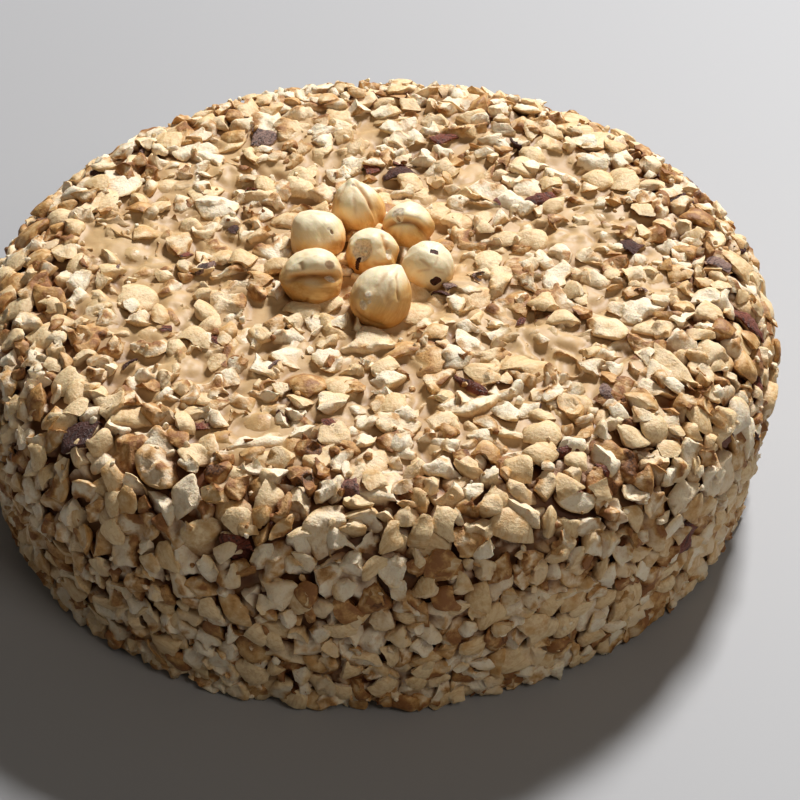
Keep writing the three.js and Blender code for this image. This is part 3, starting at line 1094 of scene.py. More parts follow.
@dataclass
class Heap:
    """Copies of chopped shapes that become one piece of the scene."""

    name: str
    points: list[Array] = field(default_factory=list)
    triangles: list[Array] = field(default_factory=list)
    make: list[Array] = field(default_factory=list)
    grain: list[Array] = field(default_factory=list)
    look: list[Array] = field(default_factory=list)
    count: int = 0

    def add(self, chip: Chip, points: Array, look: Array) -> None:
        """Adds one copy of a shape with its own vertices and look."""
        self.points.append(points)
        self.triangles.append(chip.triangles + self.count)
        self.make.append(chip.make)
        self.grain.append(chip.grain + 40 * look[0])
        self.look.append(np.tile(look, (len(points), 1)))
        self.count += len(points)

    def build(self, pile: Pile) -> Piece:
        """Joins the copies into one mesh with the numbers that its finish reads."""
        points = np.concatenate(self.points)
        piece = new_mesh_object(self.name, points, np.concatenate(self.triangles))
        level = pile.read(pile.cream, points)
        _, _, rise = pile.unroll(points)
        spilt = pile.read(pile.over, points)
        wet = 1 - soft_step(rise, level - 0.3, level + 1.2 + 1.6 * spilt)
        write_look(piece.data, "make", np.column_stack([np.concatenate(self.make), wet]))
        write_look(piece.data, "look", np.concatenate(self.look))
        grain = np.concatenate(self.grain)
        # The fourth grain channel is the share of painted shade, by how deep each point lies between the
        # pieces round it.
        write_look(piece.data, "grain", np.column_stack([grain, pile.depth(points)]))
        return piece


@dataclass(frozen=True)
class Seat:
    """A place on the cream where a piece is laid."""

    middle: Array
    axes: Array


# In millimetres: the gap kept to the ground, how far a copy is bent, and between which heights over the
# cream the top of a piece that stands out comes.
GROUND_CLEARANCE = 0.15
BEND = 0.28
FEATURE_TOP = 4.3
FEATURE_CEILING = 5.0

# The angle from which edges stay sharp, the copies tried for one place, and the most rounds of filling.
SHARP_EDGE = math.radians(56)
TRIES = 3
FILL_ROUNDS = 16

# The share of the map that counts as low, and what a filling's count is divided by for one round.
LOW_SHARE = 0.36
ROUND_PART = 6


@dataclass
class ChoppedNuts:
    """All the chopped pieces on the cake."""

    bed: NutBed
    view: PhotoView
    pile: Pile
    box: Array
    nuggets: int = 620
    dice: int = 1240
    grit: int = 460
    crumbs: int = 560
    sunken: int = 140
    ceiling: float = 5.4

    def __post_init__(self) -> None:
        """Starts the heaps."""
        self.heaps = {
            Cut.BLOCK: Heap("chopped_blocks"),
            Cut.CHUNK: Heap("chopped_chunks"),
            Cut.SLAB: Heap("chopped_slabs"),
            Cut.WEDGE: Heap("chopped_wedges"),
            Cut.NUGGET: Heap("chopped_nuggets"),
            Cut.DICE: Heap("chopped_dice"),
            Cut.GRIT: Heap("chopped_grit"),
            Cut.SKIN: Heap("skinned_pieces"),
        }
        self.taken: list[tuple[Array, float]] = []
        self.crumb_heap = Heap("nut_crumbs")
        self.husk_heap = Heap("skin_flakes")
        self.chips: dict[Cut, list[Chip]] = {}
        self.draw = np.random.default_rng(11)

    def _chop_all(self) -> None:
        """Makes the shapes that are copied."""
        chopper = NutChopper()
        for cut in Cut:
            self.chips[cut] = [chopper.chop(cut.value) for _ in range(cut.value.shapes)]
            sizes = np.array([chip.half for chip in self.chips[cut]]) * 2
            log.info("%s: about %s mm", cut.name, sizes.mean(axis=0).round(1))
        self.crumb_chips = [chopper.crumb() for _ in range(10)]
        self.husk_chips = [chopper.husk() for _ in range(8)]

    def _marked(self) -> dict[tuple[int, int], Look]:
        """The sites of the pieces that have a look of their own."""
        faces = self.view.faces
        seen = [site for site in self.bed.sites if not site.bare and faces(site.middle, site.axes[2])]
        pixels = np.array([self.view.pixel(site.middle + site.axes[2] * 2.5) for site in seen])
        found = {}
        for across, down, look in MARKED_PIECES:
            nearest = seen[int(np.argmin(np.hypot(pixels[:, 0] - across, pixels[:, 1] - down)))]
            found[nearest.row, nearest.place] = look
        return found

    def _posed(
        self, chip: Chip, size: float, steep: float, hollow_up: bool, turn: float | None = None
    ) -> Array:
        """A copy's own points: bent a little, turned and tipped.

        Args:
            chip: Its shape.
            size: How much it is scaled.
            steep: How far it is tipped, as a turn in radians.
            hollow_up: Whether its hollow side shows.
            turn: The direction of its length, where that isn't left to chance.

        Returns:
            The points, about their middle.
        """
        draw = self.draw
        points = chip.points * (size * draw.uniform(0.9, 1.1, size=3))
        for _ in range(2):
            wave = unit(draw.normal(size=3)) * FULL_TURN / draw.uniform(5, 9)
            bend = BEND * np.sin(points @ wave + draw.uniform(0, FULL_TURN))[:, None]
            points = points + bend * draw.normal(size=3)
        if chip.hollow_up != hollow_up:
            points = points * np.array([1.0, -1.0, -1.0])
        turned = Matrix.Rotation(draw.uniform(0, FULL_TURN) if turn is None else turn, 3, "Z")
        way = draw.uniform(0, FULL_TURN)
        tipped = Matrix.Rotation(steep, 3, Vector((math.cos(way), math.sin(way), 0.0)))
        return points @ np.array(tipped @ turned).T

    def _steepness(self) -> float:
        """How far a piece is tipped: mostly a little, and now and then on its edge."""
        pick = self.draw.random()
        if pick < 0.42:
            return self.draw.uniform(0.0, 0.4)
        return self.draw.uniform(0.4, 0.9) if pick < 0.82 else self.draw.uniform(0.9, 1.5)

    def _look(self, own: Look | None, seen: bool) -> Array:
        """The tone, toasting and skin of a piece."""
        draw = self.draw
        tone = draw.random()
        if own:
            return np.array([*own.value, 1.0])
        toast = draw.uniform(0.0, 0.5) if draw.random() < 0.7 else draw.uniform(0.5, 1.0)
        skin = 1.0 if draw.random() < (0.01 if seen else 0.04) else 0.0
        return np.array([tone, toast, skin, 1.0])

    def _settle(self, seat: Seat, posed: Array, move: float) -> Array:
        """A posed copy in its place, kept off the ground."""
        placed = seat.middle + (posed + np.array([0.0, 0.0, move])) @ seat.axes
        lowest = placed[:, 2].min()
        if lowest < GROUND_CLEARANCE:
            placed[:, 2] += GROUND_CLEARANCE - lowest
        low, high = self.box
        beyond = np.maximum(placed.max(axis=0) - high, 0.0) + np.minimum(placed.min(axis=0) - low, 0.0)
        placed[:, :2] -= beyond[:2]
        return placed

    def _seat(self, reach: float, bearing: float) -> Seat:
        """The place at a distance over the cream and a bearing."""
        outline = self.bed.outline
        return Seat(outline.surface(reach, bearing, 0.0), outline.axes(reach, bearing))

    def _seat_on(self, row: int, column: int) -> Seat:
        """The place that a cell of the map stands for."""
        pile = self.pile
        east = (column + 0.5) * pile.cell - pile.half
        north = (row + 0.5) * pile.cell - pile.half
        return self._seat(math.hypot(east, north), math.atan2(north, east))

    def _pick(self, chips: list[Chip]) -> Chip:
        """One of some shapes, by chance."""
        return chips[int(self.draw.integers(len(chips)))]

    def _seat_at(self, pixel: Pixel) -> Seat:
        """The place on the cream that a pixel shows."""
        outline, view = self.bed.outline, self.view
        rows = np.arange(0.5, outline.full_reach, 0.7)
        reaches, bearings = np.meshgrid(rows, np.linspace(-math.pi, math.pi, 721))
        reaches, bearings = reaches.ravel(), bearings.ravel()
        points = outline.surface(reaches, bearings, 2.0)
        across, down = view.pixel(points)
        hidden = ~view.faces(points, outline.normals(reaches, bearings))
        number = int(np.argmin(np.hypot(across - pixel[0], down - pixel[1]) + 1e3 * hidden))
        return self._seat(float(reaches[number]), float(bearings[number]))

    def _turn_for(self, seat: Seat, degrees: float) -> float:
        """The turn on the cream at which a length shows at an angle in the picture."""
        start = self.view.pixel(seat.middle)
        wanted = np.array([math.cos(math.radians(degrees)), -math.sin(math.radians(degrees))])
        turns = np.arange(0, 180, 5) * math.pi / 180
        along, inwards, _ = seat.axes
        ends = (seat.middle + math.cos(turn) * along + math.sin(turn) * inwards for turn in turns)
        shown = [self.view.pixel(end) - start for end in ends]
        return float(turns[int(np.argmax([abs(unit(way) @ wanted) for way in shown]))])

    def _lay_feature(self, feature: Feature) -> None:
        """Lays one piece that stands out in the photograph."""
        seat = self._seat_at(feature.pixel)
        chips = [chip for chip in self.chips[feature.cut] if chip.hollow_up == feature.hollow_up]
        chips = chips or self.chips[feature.cut]
        chip = self._pick(chips)
        size = min(1.5, feature.length / (2 * chip.half[0]))
        turn = self._turn_for(seat, feature.turn)
        posed = self._posed(chip, size, feature.steep, feature.hollow_up, turn)
        level = self.pile.read_one(self.pile.cream, seat.middle)
        low, high = float(posed[:, 2].min()), float(posed[:, 2].max())
        move = min(max(level - 1.0 - low, FEATURE_TOP - high), FEATURE_CEILING - high)
        placed = self._settle(seat, posed, move)
        self._keep(self.heaps[feature.cut], chip, placed, np.array([*feature.look.value, 1.0]))
        self.taken.append((seat.middle, feature.length / 2))

    def _lay_flakes(self) -> None:
        """Lays the flakes of skin on top of what lies there."""
        draw = self.draw
        for across, down, length, look in FLAKES:
            seat = self._seat_at((across, down))
            chip = self._pick(self.husk_chips)
            posed = self._posed(chip, length / (2 * chip.half[0]), draw.uniform(0.1, 0.7), False)
            sampled = self.pile.sampled(posed, chip.triangles)
            move, top = self.pile.rest(seat.middle + sampled @ seat.axes, 0.5)
            move -= max(0.0, top - self.ceiling - 0.3)
            placed = self._settle(seat, posed, move)
            self._keep(self.husk_heap, chip, placed, np.array([*look.value, 1.0]))

    def _keep(self, heap: Heap, chip: Chip, placed: Array, look: Array) -> None:
        """Adds a placed copy to its heap and to the pile."""
        heap.add(chip, placed, look)
        self.pile.lay(self.pile.sampled(placed, chip.triangles))

    def _lay_site(self, site: Site, marked: dict[tuple[int, int], Look]) -> None:
        """Lays the main piece of one site."""
        if any(np.linalg.norm(site.middle - middle) < half * 0.8 + 1.4 for middle, half in self.taken):
            return
        rise = between(*self.bed.rise, site.draw(7)) + 0.75
        seat = Seat(site.middle, site.axes)
        on_side = float(soft_step(site.reach, 66, 84))
        covered = self.pile.read_one(self.pile.over, site.middle) > site.draw(54)
        pick = site.draw(60)
        cut = Cut.BLOCK if pick < between(0.46, 0.62, on_side) else Cut.SLAB if pick < 0.7 else Cut.WEDGE
        cut = Cut.CHUNK if pick > 0.9 else cut
        look = self._look(marked.get((site.row, site.place)), self.view.faces(site.middle, site.axes[2]))
        skinned = look[2] > 0.5
        cut = Cut.SKIN if skinned else cut
        chips = self.chips[cut]
        best: tuple[float, Chip, Array] | None = None
        for _ in range(TRIES):
            chip = self._pick(chips)
            broad = (chip.half[0] + chip.half[1]) / 2
            size = min(1.32, max(0.82, between(1.27, 1.12, on_side) * site.span / broad))
            size = size * 0.86 if skinned else size
            steep = 0.6 * self.draw.random() if skinned else self._steepness()
            posed = self._posed(chip, size, steep, not skinned and self.draw.random() < 0.72)
            tall = float(np.ptp(posed[:, 2]))
            misfit = abs(tall - rise - 0.8) + 0.25 * self.draw.random()
            if best is None or misfit < best[0]:
                best = (misfit, chip, posed)
        _, chip, posed = best
        move = min(rise - posed[:, 2].max(), -0.5 - posed[:, 2].min())
        placed = self._settle(seat, posed, move)
        if covered and not skinned:
            self.pile.lay(self.pile.sampled(placed, chip.triangles), coated=True)
            self.pile.lay(self.pile.sampled(placed, chip.triangles))
            if site.draw(56) < 0.75:
                return
        self._keep(self.heaps[cut], chip, placed, look)

    def _closed(self) -> Array:
        """The map's cells where no small pieces are dropped."""
        pile = self.pile
        patchy = self.draw.random(pile.top.shape)
        closed = (pile.reach > self.bed.outline.full_reach - 1.2) | (pile.thick > 0.5 + 2.2 * patchy)
        closed |= (pile.rippled(11, 78) > 0.0) & (pile.reach < 66 + 16 * patchy)
        for nut in WHOLE_NUTS:
            closed |= np.hypot(pile.east - nut.at[0], pile.north - nut.at[1]) < nut.width * 0.48
        return closed

    def _fill(self, cut: Cut, count: int, spread: float, ceiling: float) -> None:
        """Drops smaller pieces where the pile is lowest.

        Args:
            cut: Their kind.
            count: How many are tried.
            spread: How broad a hollow they look for, in millimetres.
            ceiling: How high their tops may stand off the cream.
        """
        draw, pile = self.draw, self.pile
        closed = self._closed()
        chips = self.chips[cut]
        laid = 0
        for _ in range(FILL_ROUNDS):
            low = pile.blurred(np.maximum(pile.top, pile.cream), spread)
            low[closed] = 99.0
            rows, columns = np.nonzero(low < np.quantile(low[~closed], LOW_SHARE))
            picked = draw.permutation(len(rows))[: count // ROUND_PART]
            taken = np.zeros(pile.top.shape, bool)
            around = int(spread * 1.6 / pile.cell)
            for number in picked:
                if laid >= count:
                    return
                row, column = rows[number], columns[number]
                if taken[row, column]:
                    continue
                taken[max(0, row - around) : row + around, max(0, column - around) : column + around] = True
                seat = self._seat_on(row, column)
                best = None
                for _ in range(TRIES):
                    chip = self._pick(chips)
                    size, steep = draw.uniform(0.84, 1.24), self._steepness() * 1.2
                    posed = self._posed(chip, size, steep, draw.random() < 0.6)
                    sampled = pile.sampled(posed, chip.triangles)
                    move, top = pile.rest(seat.middle + sampled @ seat.axes, 0.35)
                    if best is None or top < best[0]:
                        best = (top, chip, posed, move)
                top, chip, posed, move = best
                if top > ceiling:
                    continue
                placed = self._settle(seat, posed, move)
                look = self._look(None, self.view.faces(seat.middle, seat.axes[2]))
                self._keep(self.heaps[cut], chip, placed, look)
                laid += 1

    def _submerge(self) -> None:
        """Drops pieces into the spread cream that it covers, all or nearly."""
        draw, pile = self.draw, self.pile
        rows, columns = np.nonzero(pile.over > 0.25)
        for number in draw.permutation(len(rows))[: self.sunken]:
            seat = self._seat_on(rows[number], columns[number])
            kind = Cut.BLOCK if draw.random() < 0.4 else Cut.DICE
            chip = self._pick(self.chips[kind])
            posed = self._posed(chip, draw.uniform(0.75, 1.0), self._steepness(), draw.random() < 0.7)
            level = pile.read_one(pile.cream, seat.middle)
            if pile.read_one(pile.top, seat.middle) > level + 1.0:
                continue
            placed = self._settle(seat, posed, level + draw.uniform(0.2, 1.3) - posed[:, 2].max())
            pile.lay(pile.sampled(placed, chip.triangles), coated=True)
            if draw.random() < 0.4:
                placed = placed + seat.axes[2] * 0.45
                self._keep(self.heaps[kind], chip, placed, self._look(None, True))

    def _sprinkle(self) -> None:
        """Sprinkles tiny bits all over."""
        draw, pile, outline = self.draw, self.pile, self.bed.outline
        nuts = np.array([nut.at for nut in WHOLE_NUTS])
        laid = 0
        while laid < self.crumbs:
            reach = outline.full_reach * math.sqrt(draw.uniform(0.004, 0.975))
            if draw.random() > float(outline.profile(reach)[0]) / reach:
                continue
            bearing = draw.uniform(0, FULL_TURN)
            seat = self._seat(reach, bearing)
            if reach < 30 and np.hypot(*(nuts - seat.middle[:2]).T).min() < 7.4:
                continue
            if pile.read_one(pile.thick, seat.middle) > draw.uniform(0.3, 2.5):
                continue
            chip = self._pick(self.crumb_chips)
            posed = chip.points * draw.uniform(0.45, 1.0)
            turned, _ = np.linalg.qr(draw.normal(size=(3, 3)))
            posed = posed @ turned
            move, top = pile.rest(seat.middle + posed @ seat.axes, 0.25)
            if top < self.ceiling:
                look = self._look(None, True)
                placed = self._settle(seat, posed, move)
                self.crumb_heap.add(chip, placed, look)
            laid += 1

    def lay(self) -> None:
        """Chops and lays every piece."""
        self._chop_all()
        marked = self._marked()
        self.pile.spread_cream(self.view)
        for feature in FEATURES:
            self._lay_feature(feature)
        for site in self.bed.sites:
            if not site.bare:
                self._lay_site(site, marked)
        log.info("main pieces laid")
        self._submerge()
        self._fill(Cut.NUGGET, self.nuggets, 2.3, self.ceiling)
        self._fill(Cut.DICE, self.dice, 1.6, self.ceiling)
        self._fill(Cut.GRIT, self.grit, 1.1, self.ceiling - 0.6)
        self._lay_flakes()
        self._sprinkle()
        self.pile.close_cream()
        log.info("small pieces laid")

    def build(self) -> list[Piece]:
        """Makes one object of each kind of piece."""
        heaps = [*self.heaps.values(), self.crumb_heap, self.husk_heap]
        pieces = [heap.build(self.pile) for heap in heaps if heap.count]
        for piece in pieces:
            take_up(piece)
            bpy.ops.object.shade_smooth_by_angle(angle=SHARP_EDGE)
        return pieces


# ---- The cream -------------------------------------------------------------------------------


@dataclass
class CreamCoat:
    """The cream between and over the nuts."""

    bed: NutBed
    pile: Pile
    ring_step: float = 0.85
    turns: int = 560

    def _spun(self) -> Piece:
        """The plain drum, spun from its outline."""
        outline = self.bed.outline
        count = round(outline.full_reach / self.ring_step)
        reaches = np.linspace(0.0, outline.full_reach, count + 1)
        radius, height, _, _ = outline.profile(reaches)
        points = [(float(r), 0.0, float(max(z, 0.0))) for r, z in zip(radius, height)]
        points.append((0.0, 0.0, 0.0))
        mesh = bpy.data.meshes.new("cream_coat")
        mesh.from_pydata(points, [(i, i + 1) for i in range(len(points) - 1)], [])
        coat = add_object("cream_coat", mesh)
        take_up(coat)
        bpy.ops.object.mode_set(mode="EDIT")
        bpy.ops.mesh.select_all(action="SELECT")
        bpy.ops.mesh.spin(steps=self.turns, angle=FULL_TURN, center=(0, 0, 0), axis=(0, 0, 1))
        bpy.ops.mesh.select_all(action="SELECT")
        bpy.ops.mesh.remove_doubles(threshold=0.001)
        bpy.ops.mesh.normals_make_consistent(inside=False)
        bpy.ops.object.mode_set(mode="OBJECT")
        return coat

    def build(self) -> Piece:
        """Spins the drum and raises the cream where it stands higher."""
        outline = self.bed.outline
        coat = self._spun()
        points = read_points(coat.data)
        radius = np.hypot(points[:, 0], points[:, 1])
        bearing = np.arctan2(points[:, 1], points[:, 0])
        upper = (points[:, 2] > 1e-4) | (radius > outline.profile(outline.full_reach)[0] - 1e-3)
        reach = outline.reach_of(radius, points[:, 2])
        smooth = outline.surface(reach, bearing, 0.0)
        rise = self.pile.read(self.pile.cream, smooth)
        moved = outline.surface(reach, bearing, rise * soft_step(outline.full_reach - reach, 0.0, 2.0))
        moved[:, 2] = np.maximum(moved[:, 2], 0.0)
        moved[radius < 1e-6] = [0.0, 0.0, outline.height]
        points = np.where(upper[:, None], moved, points)
        # The share of painted shade, by how deep the cream lies between the pieces round it.
        deep = self.pile.depth(points) * upper
        write_points(coat.data, points * MILLIMETRE)
        coat.data.shade_smooth()
        write_look(coat.data, "grain", np.column_stack([np.zeros((len(points), 3)), deep]))
        return coat


# ---- The whole nuts --------------------------------------------------------------------------


class Blemish(Enum):
    """A mark on a whole nut, and the channel of its finish that shows it."""

    SCAR = 0
    SKIN = 1
    PIT = 2


@dataclass(frozen=True)
class Mark:
    """A mark where a pixel shows it, with its size and how deep it goes, in millimetres."""

    kind: Blemish
    pixel: Pixel
    across: float
    depth: float = 0.0
    stretch: float = 1.0
    turn: float = 0.0


@dataclass(frozen=True)
class Fold:
    """A crease through pixels.

    Attributes:
        pixels: The pixels, in order.
        width: Its width in millimetres.
        depth: Its depth.
        lip: How far the lobe on its left stands out, seen along it.
    """

    pixels: tuple[Pixel, ...]
    width: float
    depth: float
    lip: float = 0.0


@dataclass(frozen=True)
class Swell:
    """A broad rise where a pixel shows it, with its width and height in millimetres."""

    pixel: Pixel
    across: float
    height: float


@dataclass(frozen=True)
class NutDetail:
    """What makes one whole nut differ from the next."""

    marks: tuple[Mark, ...] = ()
    folds: tuple[Fold, ...] = ()
    swells: tuple[Swell, ...] = ()
    paleness: float = 0.4
    squareness: float = 2.0


NUT_DETAILS = {
    "left": NutDetail(
        marks=(
            Mark(Blemish.PIT, (331.8, 232.2), 0.9, 0.25, 1.6, 2.2),
            Mark(Blemish.SCAR, (329, 229), 0.8, 0.05),
        ),
        folds=(Fold(((300, 216), (318, 213), (336, 215)), 1.4, 0.12),),
        paleness=0.5,
        squareness=2.6,
    ),
    "back": NutDetail(
        marks=(Mark(Blemish.PIT, (354.5, 186.5), 1.0, 0.12, 1.5),),
        folds=(
            Fold(((377, 226), (371, 204), (363, 191), (355, 184)), 2.2, 0.9, 0.6),
            Fold(((351, 184), (343, 192), (337, 206)), 1.2, 0.18),
            Fold(((354, 186), (354, 200), (356, 216)), 1.2, 0.12),
        ),
        swells=(Swell((353, 184), 3.0, 0.9), Swell((345, 205), 9.0, 0.35), Swell((374, 196), 5.0, 0.35)),
        paleness=0.45,
    ),
    "back_right": NutDetail(
        marks=(
            Mark(Blemish.SCAR, (399, 216.5), 2.8, 0.35, 1.2, 1.2),
            Mark(Blemish.PIT, (398.5, 219.5), 1.0, 0.25),
        ),
        folds=(
            Fold(
                ((382, 229), (388.6, 224), (398, 221.6), (407.6, 221), (417, 223), (424.6, 229), (432, 237)),
                1.9, 1.2, 0.75,
            ),
        ),
        swells=(Swell((410, 209), 8.0, 0.5), Swell((403, 238), 8.5, 0.5)),
        paleness=0.5,
    ),
    "middle": NutDetail(
        marks=(
            Mark(Blemish.SCAR, (361.5, 250.5), 4.6, 1.6, 1.15, 1.3),
            Mark(Blemish.SCAR, (391.5, 254), 2.6, 0.3, 1.2, 1.0),
            Mark(Blemish.SKIN, (357, 265), 1.1, 0.0, 3.2, 1.4),
            Mark(Blemish.SKIN, (353.5, 274), 1.2, 0.0, 3.2, 2.2),
        ),
        folds=(
            Fold(((381, 232), (386, 244), (391, 256)), 2.4, 0.6),
            Fold(((370, 262), (384, 266), (394, 262)), 1.6, 0.25),
        ),
        swells=(Swell((376, 238), 4.5, 0.6), Swell((378, 262), 5.0, 0.4), Swell((352, 246), 3.0, 0.4)),
        paleness=0.5,
    ),
    "front_left": NutDetail(
        marks=(
            Mark(Blemish.PIT, (329.5, 265.5), 2.2, 0.15, 1.3, 0.3),
            Mark(Blemish.SCAR, (334, 279), 1.8, 0.15, 1.5),
        ),
        folds=(
            Fold(((286.4, 281), (295.8, 276.6), (312.9, 275.4), (331.8, 276.4), (342, 279)), 2.3, 1.6, 0.9),
            Fold(((305, 303), (308, 297)), 0.9, 0.35),
            Fold(((300, 262), (303, 270)), 1.6, 0.25),
        ),
        swells=(Swell((322, 261), 9.0, 0.7), Swell((318, 293), 9.0, 0.35), Swell((286, 284), 3.0, 0.5)),
        paleness=0.4,
    ),
    "front": NutDetail(
        marks=(
            Mark(Blemish.SCAR, (367.8, 295.1), 2.0, -0.35),
            Mark(Blemish.SCAR, (363.2, 305.5), 2.5, -0.4),
            Mark(Blemish.SCAR, (369.5, 302), 1.0, -0.2),
        ),
        folds=(
            Fold(((397.2, 268), (396.2, 278), (398, 292), (400, 303)), 0.9, 0.4),
            Fold(((395, 268), (384, 277), (375, 290)), 1.6, 0.2),
            Fold(((399, 268), (406, 278), (409, 294)), 1.4, 0.22),
            Fold(((396, 270), (390, 284), (386, 304)), 1.2, 0.16),
            Fold(((354, 307), (360, 316), (373, 323), (389, 326)), 1.4, 0.35),
        ),
        swells=(Swell((398.5, 268), 3.4, 0.6), Swell((366, 300), 5.0, 0.25)),
        paleness=0.4,
    ),
    "right": NutDetail(
        marks=(
            Mark(Blemish.SKIN, (434.3, 251.7), 1.5, 0.08, 1.5, 3.0),
            Mark(Blemish.SKIN, (435.6, 281.5), 2.3, 0.1, 1.05, 0.7),
        ),
        folds=(
            Fold(((418, 259), (425, 263), (431, 268)), 0.9, 0.12),
            Fold(((416, 272), (424, 270), (431, 269)), 0.9, 0.1),
            Fold(((433, 267), (436, 262), (438, 256)), 0.8, 0.07),
            Fold(((434, 270), (438, 272), (445, 273)), 0.8, 0.08),
        ),
        paleness=1.15,
    ),
}


@dataclass
class WholeNut:
    """One whole blanched hazelnut."""

    plan: WholeNutPlan
    detail: NutDetail
    view: PhotoView
    outline: CreamOutline
    sink: float = 1.15
    level: int = 6

    def _turned(self) -> Array:
        """The turn that points the tip its own way."""
        way = Vector(self.plan.tip).normalized()
        return np.array(Vector((0, 0, 1)).rotation_difference(way).to_matrix())

    def _kernel(self, ways: Array) -> Array:
        """The plain kernel of the solids, about its own middle, tip up.

        Args:
            ways: Directions from its middle, at length 1.

        Returns:
            The surface in those directions.
        """
        plan = self.plan
        side = np.array(plan.crease) @ self._turned()
        bearing = np.arctan2(ways[:, 1], ways[:, 0]) - math.atan2(side[1], side[0])
        away = (bearing + math.pi) % FULL_TURN - math.pi
        z = ways[:, 2]
        groove = plan.depth * np.exp(-((away / 0.3) ** 2)) * (1 - z * z)
        radius = plan.width / 2 * (1 - 0.06 * z) - groove
        tall = plan.length / 2 * np.where(z < 0, 1 - 0.1 * z * z, 1 + 0.07 * np.abs(z) ** 7)
        return np.column_stack([ways[:, 0] * radius, ways[:, 1] * radius, z * tall])

    def _seen_at(self, pixel: Pixel, middle: Array) -> Array:
        """The direction from the nut's middle to what a pixel shows of it."""
        start = np.array(self.view.place)
        way = self.view.ray(pixel)
        along = (middle - start) @ way
        nearest = start + way * along
        off = np.linalg.norm(nearest - middle)
        half = (self.plan.width + self.plan.length) / 4
        back = math.sqrt(max(0.0, half * half - off * off))
        return unit(nearest - way * back - middle)

    def _marks(self, ways: Array, middle: Array) -> tuple[Array, Array]:
        """How far marks, folds and swells move the surface, and the numbers that its finish reads.

        Args:
            ways: Directions from the middle, at length 1, in the cake's frame.
            middle: The nut's middle.

        Returns:
            The moves outwards, and the scar, skin, pit and crease channels.
        """
        half = (self.plan.width + self.plan.length) / 4
        move = np.zeros(len(ways))
        shown = np.zeros((len(ways), 4))
        ragged = ripple(ways * half, 2.0, 31 + len(self.plan.name)) + 0.3 * ripple(ways * half, 0.7, 32)
        for mark in self.detail.marks:
            way = self._seen_at(mark.pixel, middle)
            right, _, _ = self.view.axes()
            first = unit(right - way * (right @ way))
            second = np.cross(way, first)
            turned = math.cos(mark.turn) * first + math.sin(mark.turn) * second
            square = np.cross(way, turned)
            along = ways @ turned * half / mark.stretch
            across = ways @ square * half
            power = 5 if mark.kind is Blemish.SKIN else 2
            apart = (np.abs(along) ** power + np.abs(across) ** power) ** (1 / power)
            apart = apart * (1 + 0.13 * ragged) / (mark.across / 2)
            apart = np.where(ways @ way > 0, apart, 9.0)
            edge = (0.92, 1.08) if mark.kind is Blemish.SKIN else (0.7, 1.2)
            inside = 1 - soft_step(apart, *edge)
            channel = mark.kind.value
            inside = inside * (1.0 if mark.depth >= 0 else 0.5)
            shown[:, channel] = np.maximum(shown[:, channel], inside)
            rough = 0.2 * mark.depth * ripple(ways * half, 1.3, 77) + 0.04 * ripple(ways * half, 0.6, 78)
            move -= (mark.depth + rough) * (1 - soft_step(apart, 0.5, 1.15))
        for fold in self.detail.folds:
            path = np.array([self._seen_at(pixel, middle) for pixel in fold.pixels])
            nearest = np.full(len(ways), 9.0)
            fade = np.zeros(len(ways))
            beside = np.zeros(len(ways))
            for number, (start, end) in enumerate(zip(path, path[1:])):
                step = end - start
                share = np.clip((ways - start) @ step / (step @ step), 0, 1)
                apart = np.linalg.norm(ways - (start + share[:, None] * step), axis=1) * half
                where = (number + share) / (len(path) - 1)
                closer = apart < nearest
                nearest = np.where(closer, apart, nearest)
                fade = np.where(closer, soft_step(np.minimum(where, 1 - where), -0.04, 0.2), fade)
                left = unit(np.cross(start + end, step))
                beside = np.where(closer, (ways - start) @ left * half, beside)
            valley = np.exp(-((nearest / (fold.width * 0.34)) ** 2))
            shoulder = np.exp(-((nearest / (fold.width * 1.1)) ** 2))
            move -= fold.depth * fade * (0.75 * valley + 0.25 * shoulder)
            lobe = soft_step(beside, 0.05, 0.75) * np.exp(-((nearest / (fold.width * 1.5)) ** 2))
            move += fold.lip * fade * lobe
            shown[:, 3] = np.maximum(shown[:, 3], fade * valley * min(1.0, 0.25 + fold.depth))
        for swell in self.detail.swells:
            way = self._seen_at(swell.pixel, middle)
            apart = np.linalg.norm(ways - way, axis=1) * half / (swell.across / 2)
            move += swell.height * (1 - soft_step(apart, 0.1, 1.4))
        return move, shown

    def build(self) -> Piece:
        """Models the nut in its place.

        Returns:
            The nut.
        """
        deselect_all()
        bpy.ops.mesh.primitive_ico_sphere_add(subdivisions=self.level, radius=1.0)
        nut = bpy.context.object
        nut.name = nut.data.name = f"whole_nut_{self.plan.name}"
        ways = read_points(nut.data)
        ways /= np.linalg.norm(ways, axis=1)[:, None]
        turned = self._turned()
        plain = self._kernel(ways) @ turned.T
        foot = self.outline.height - self.sink - plain[:, 2].min()
        middle = np.array([*self.plan.at, foot])
        out = plain / np.linalg.norm(plain, axis=1)[:, None]
        power = self.detail.squareness
        boxy = (np.abs(out @ np.stack(self.view.axes(), axis=1)) ** power).sum(axis=1) ** (-1 / power)
        plain = plain * (1 + (boxy - 1) * 0.75 - (boxy.max() - 1) * 0.3)[:, None]
        move, shown = self._marks(out, middle)
        seed = 100 + len(self.plan.name) * 7 + int(self.plan.at[0])
        veins = np.sin(np.arctan2(ways[:, 1], ways[:, 0]) * 11 + 1.5 * ripple(ways * 7, 9, seed + 3))
        move += 0.17 * ripple(plain, 4.8, seed) + 0.055 * ripple(plain, 2.0, seed + 1)
        move += 0.035 * veins * (1 - ways[:, 2] ** 2)
        points = middle + plain + out * move[:, None]
        write_points(nut.data, points * MILLIMETRE)
        nut.data.shade_smooth()
        write_look(nut.data, "marks", shown)
        low = 1 - soft_step(points[:, 2], self.outline.height + 0.6, self.outline.height + 1.9)
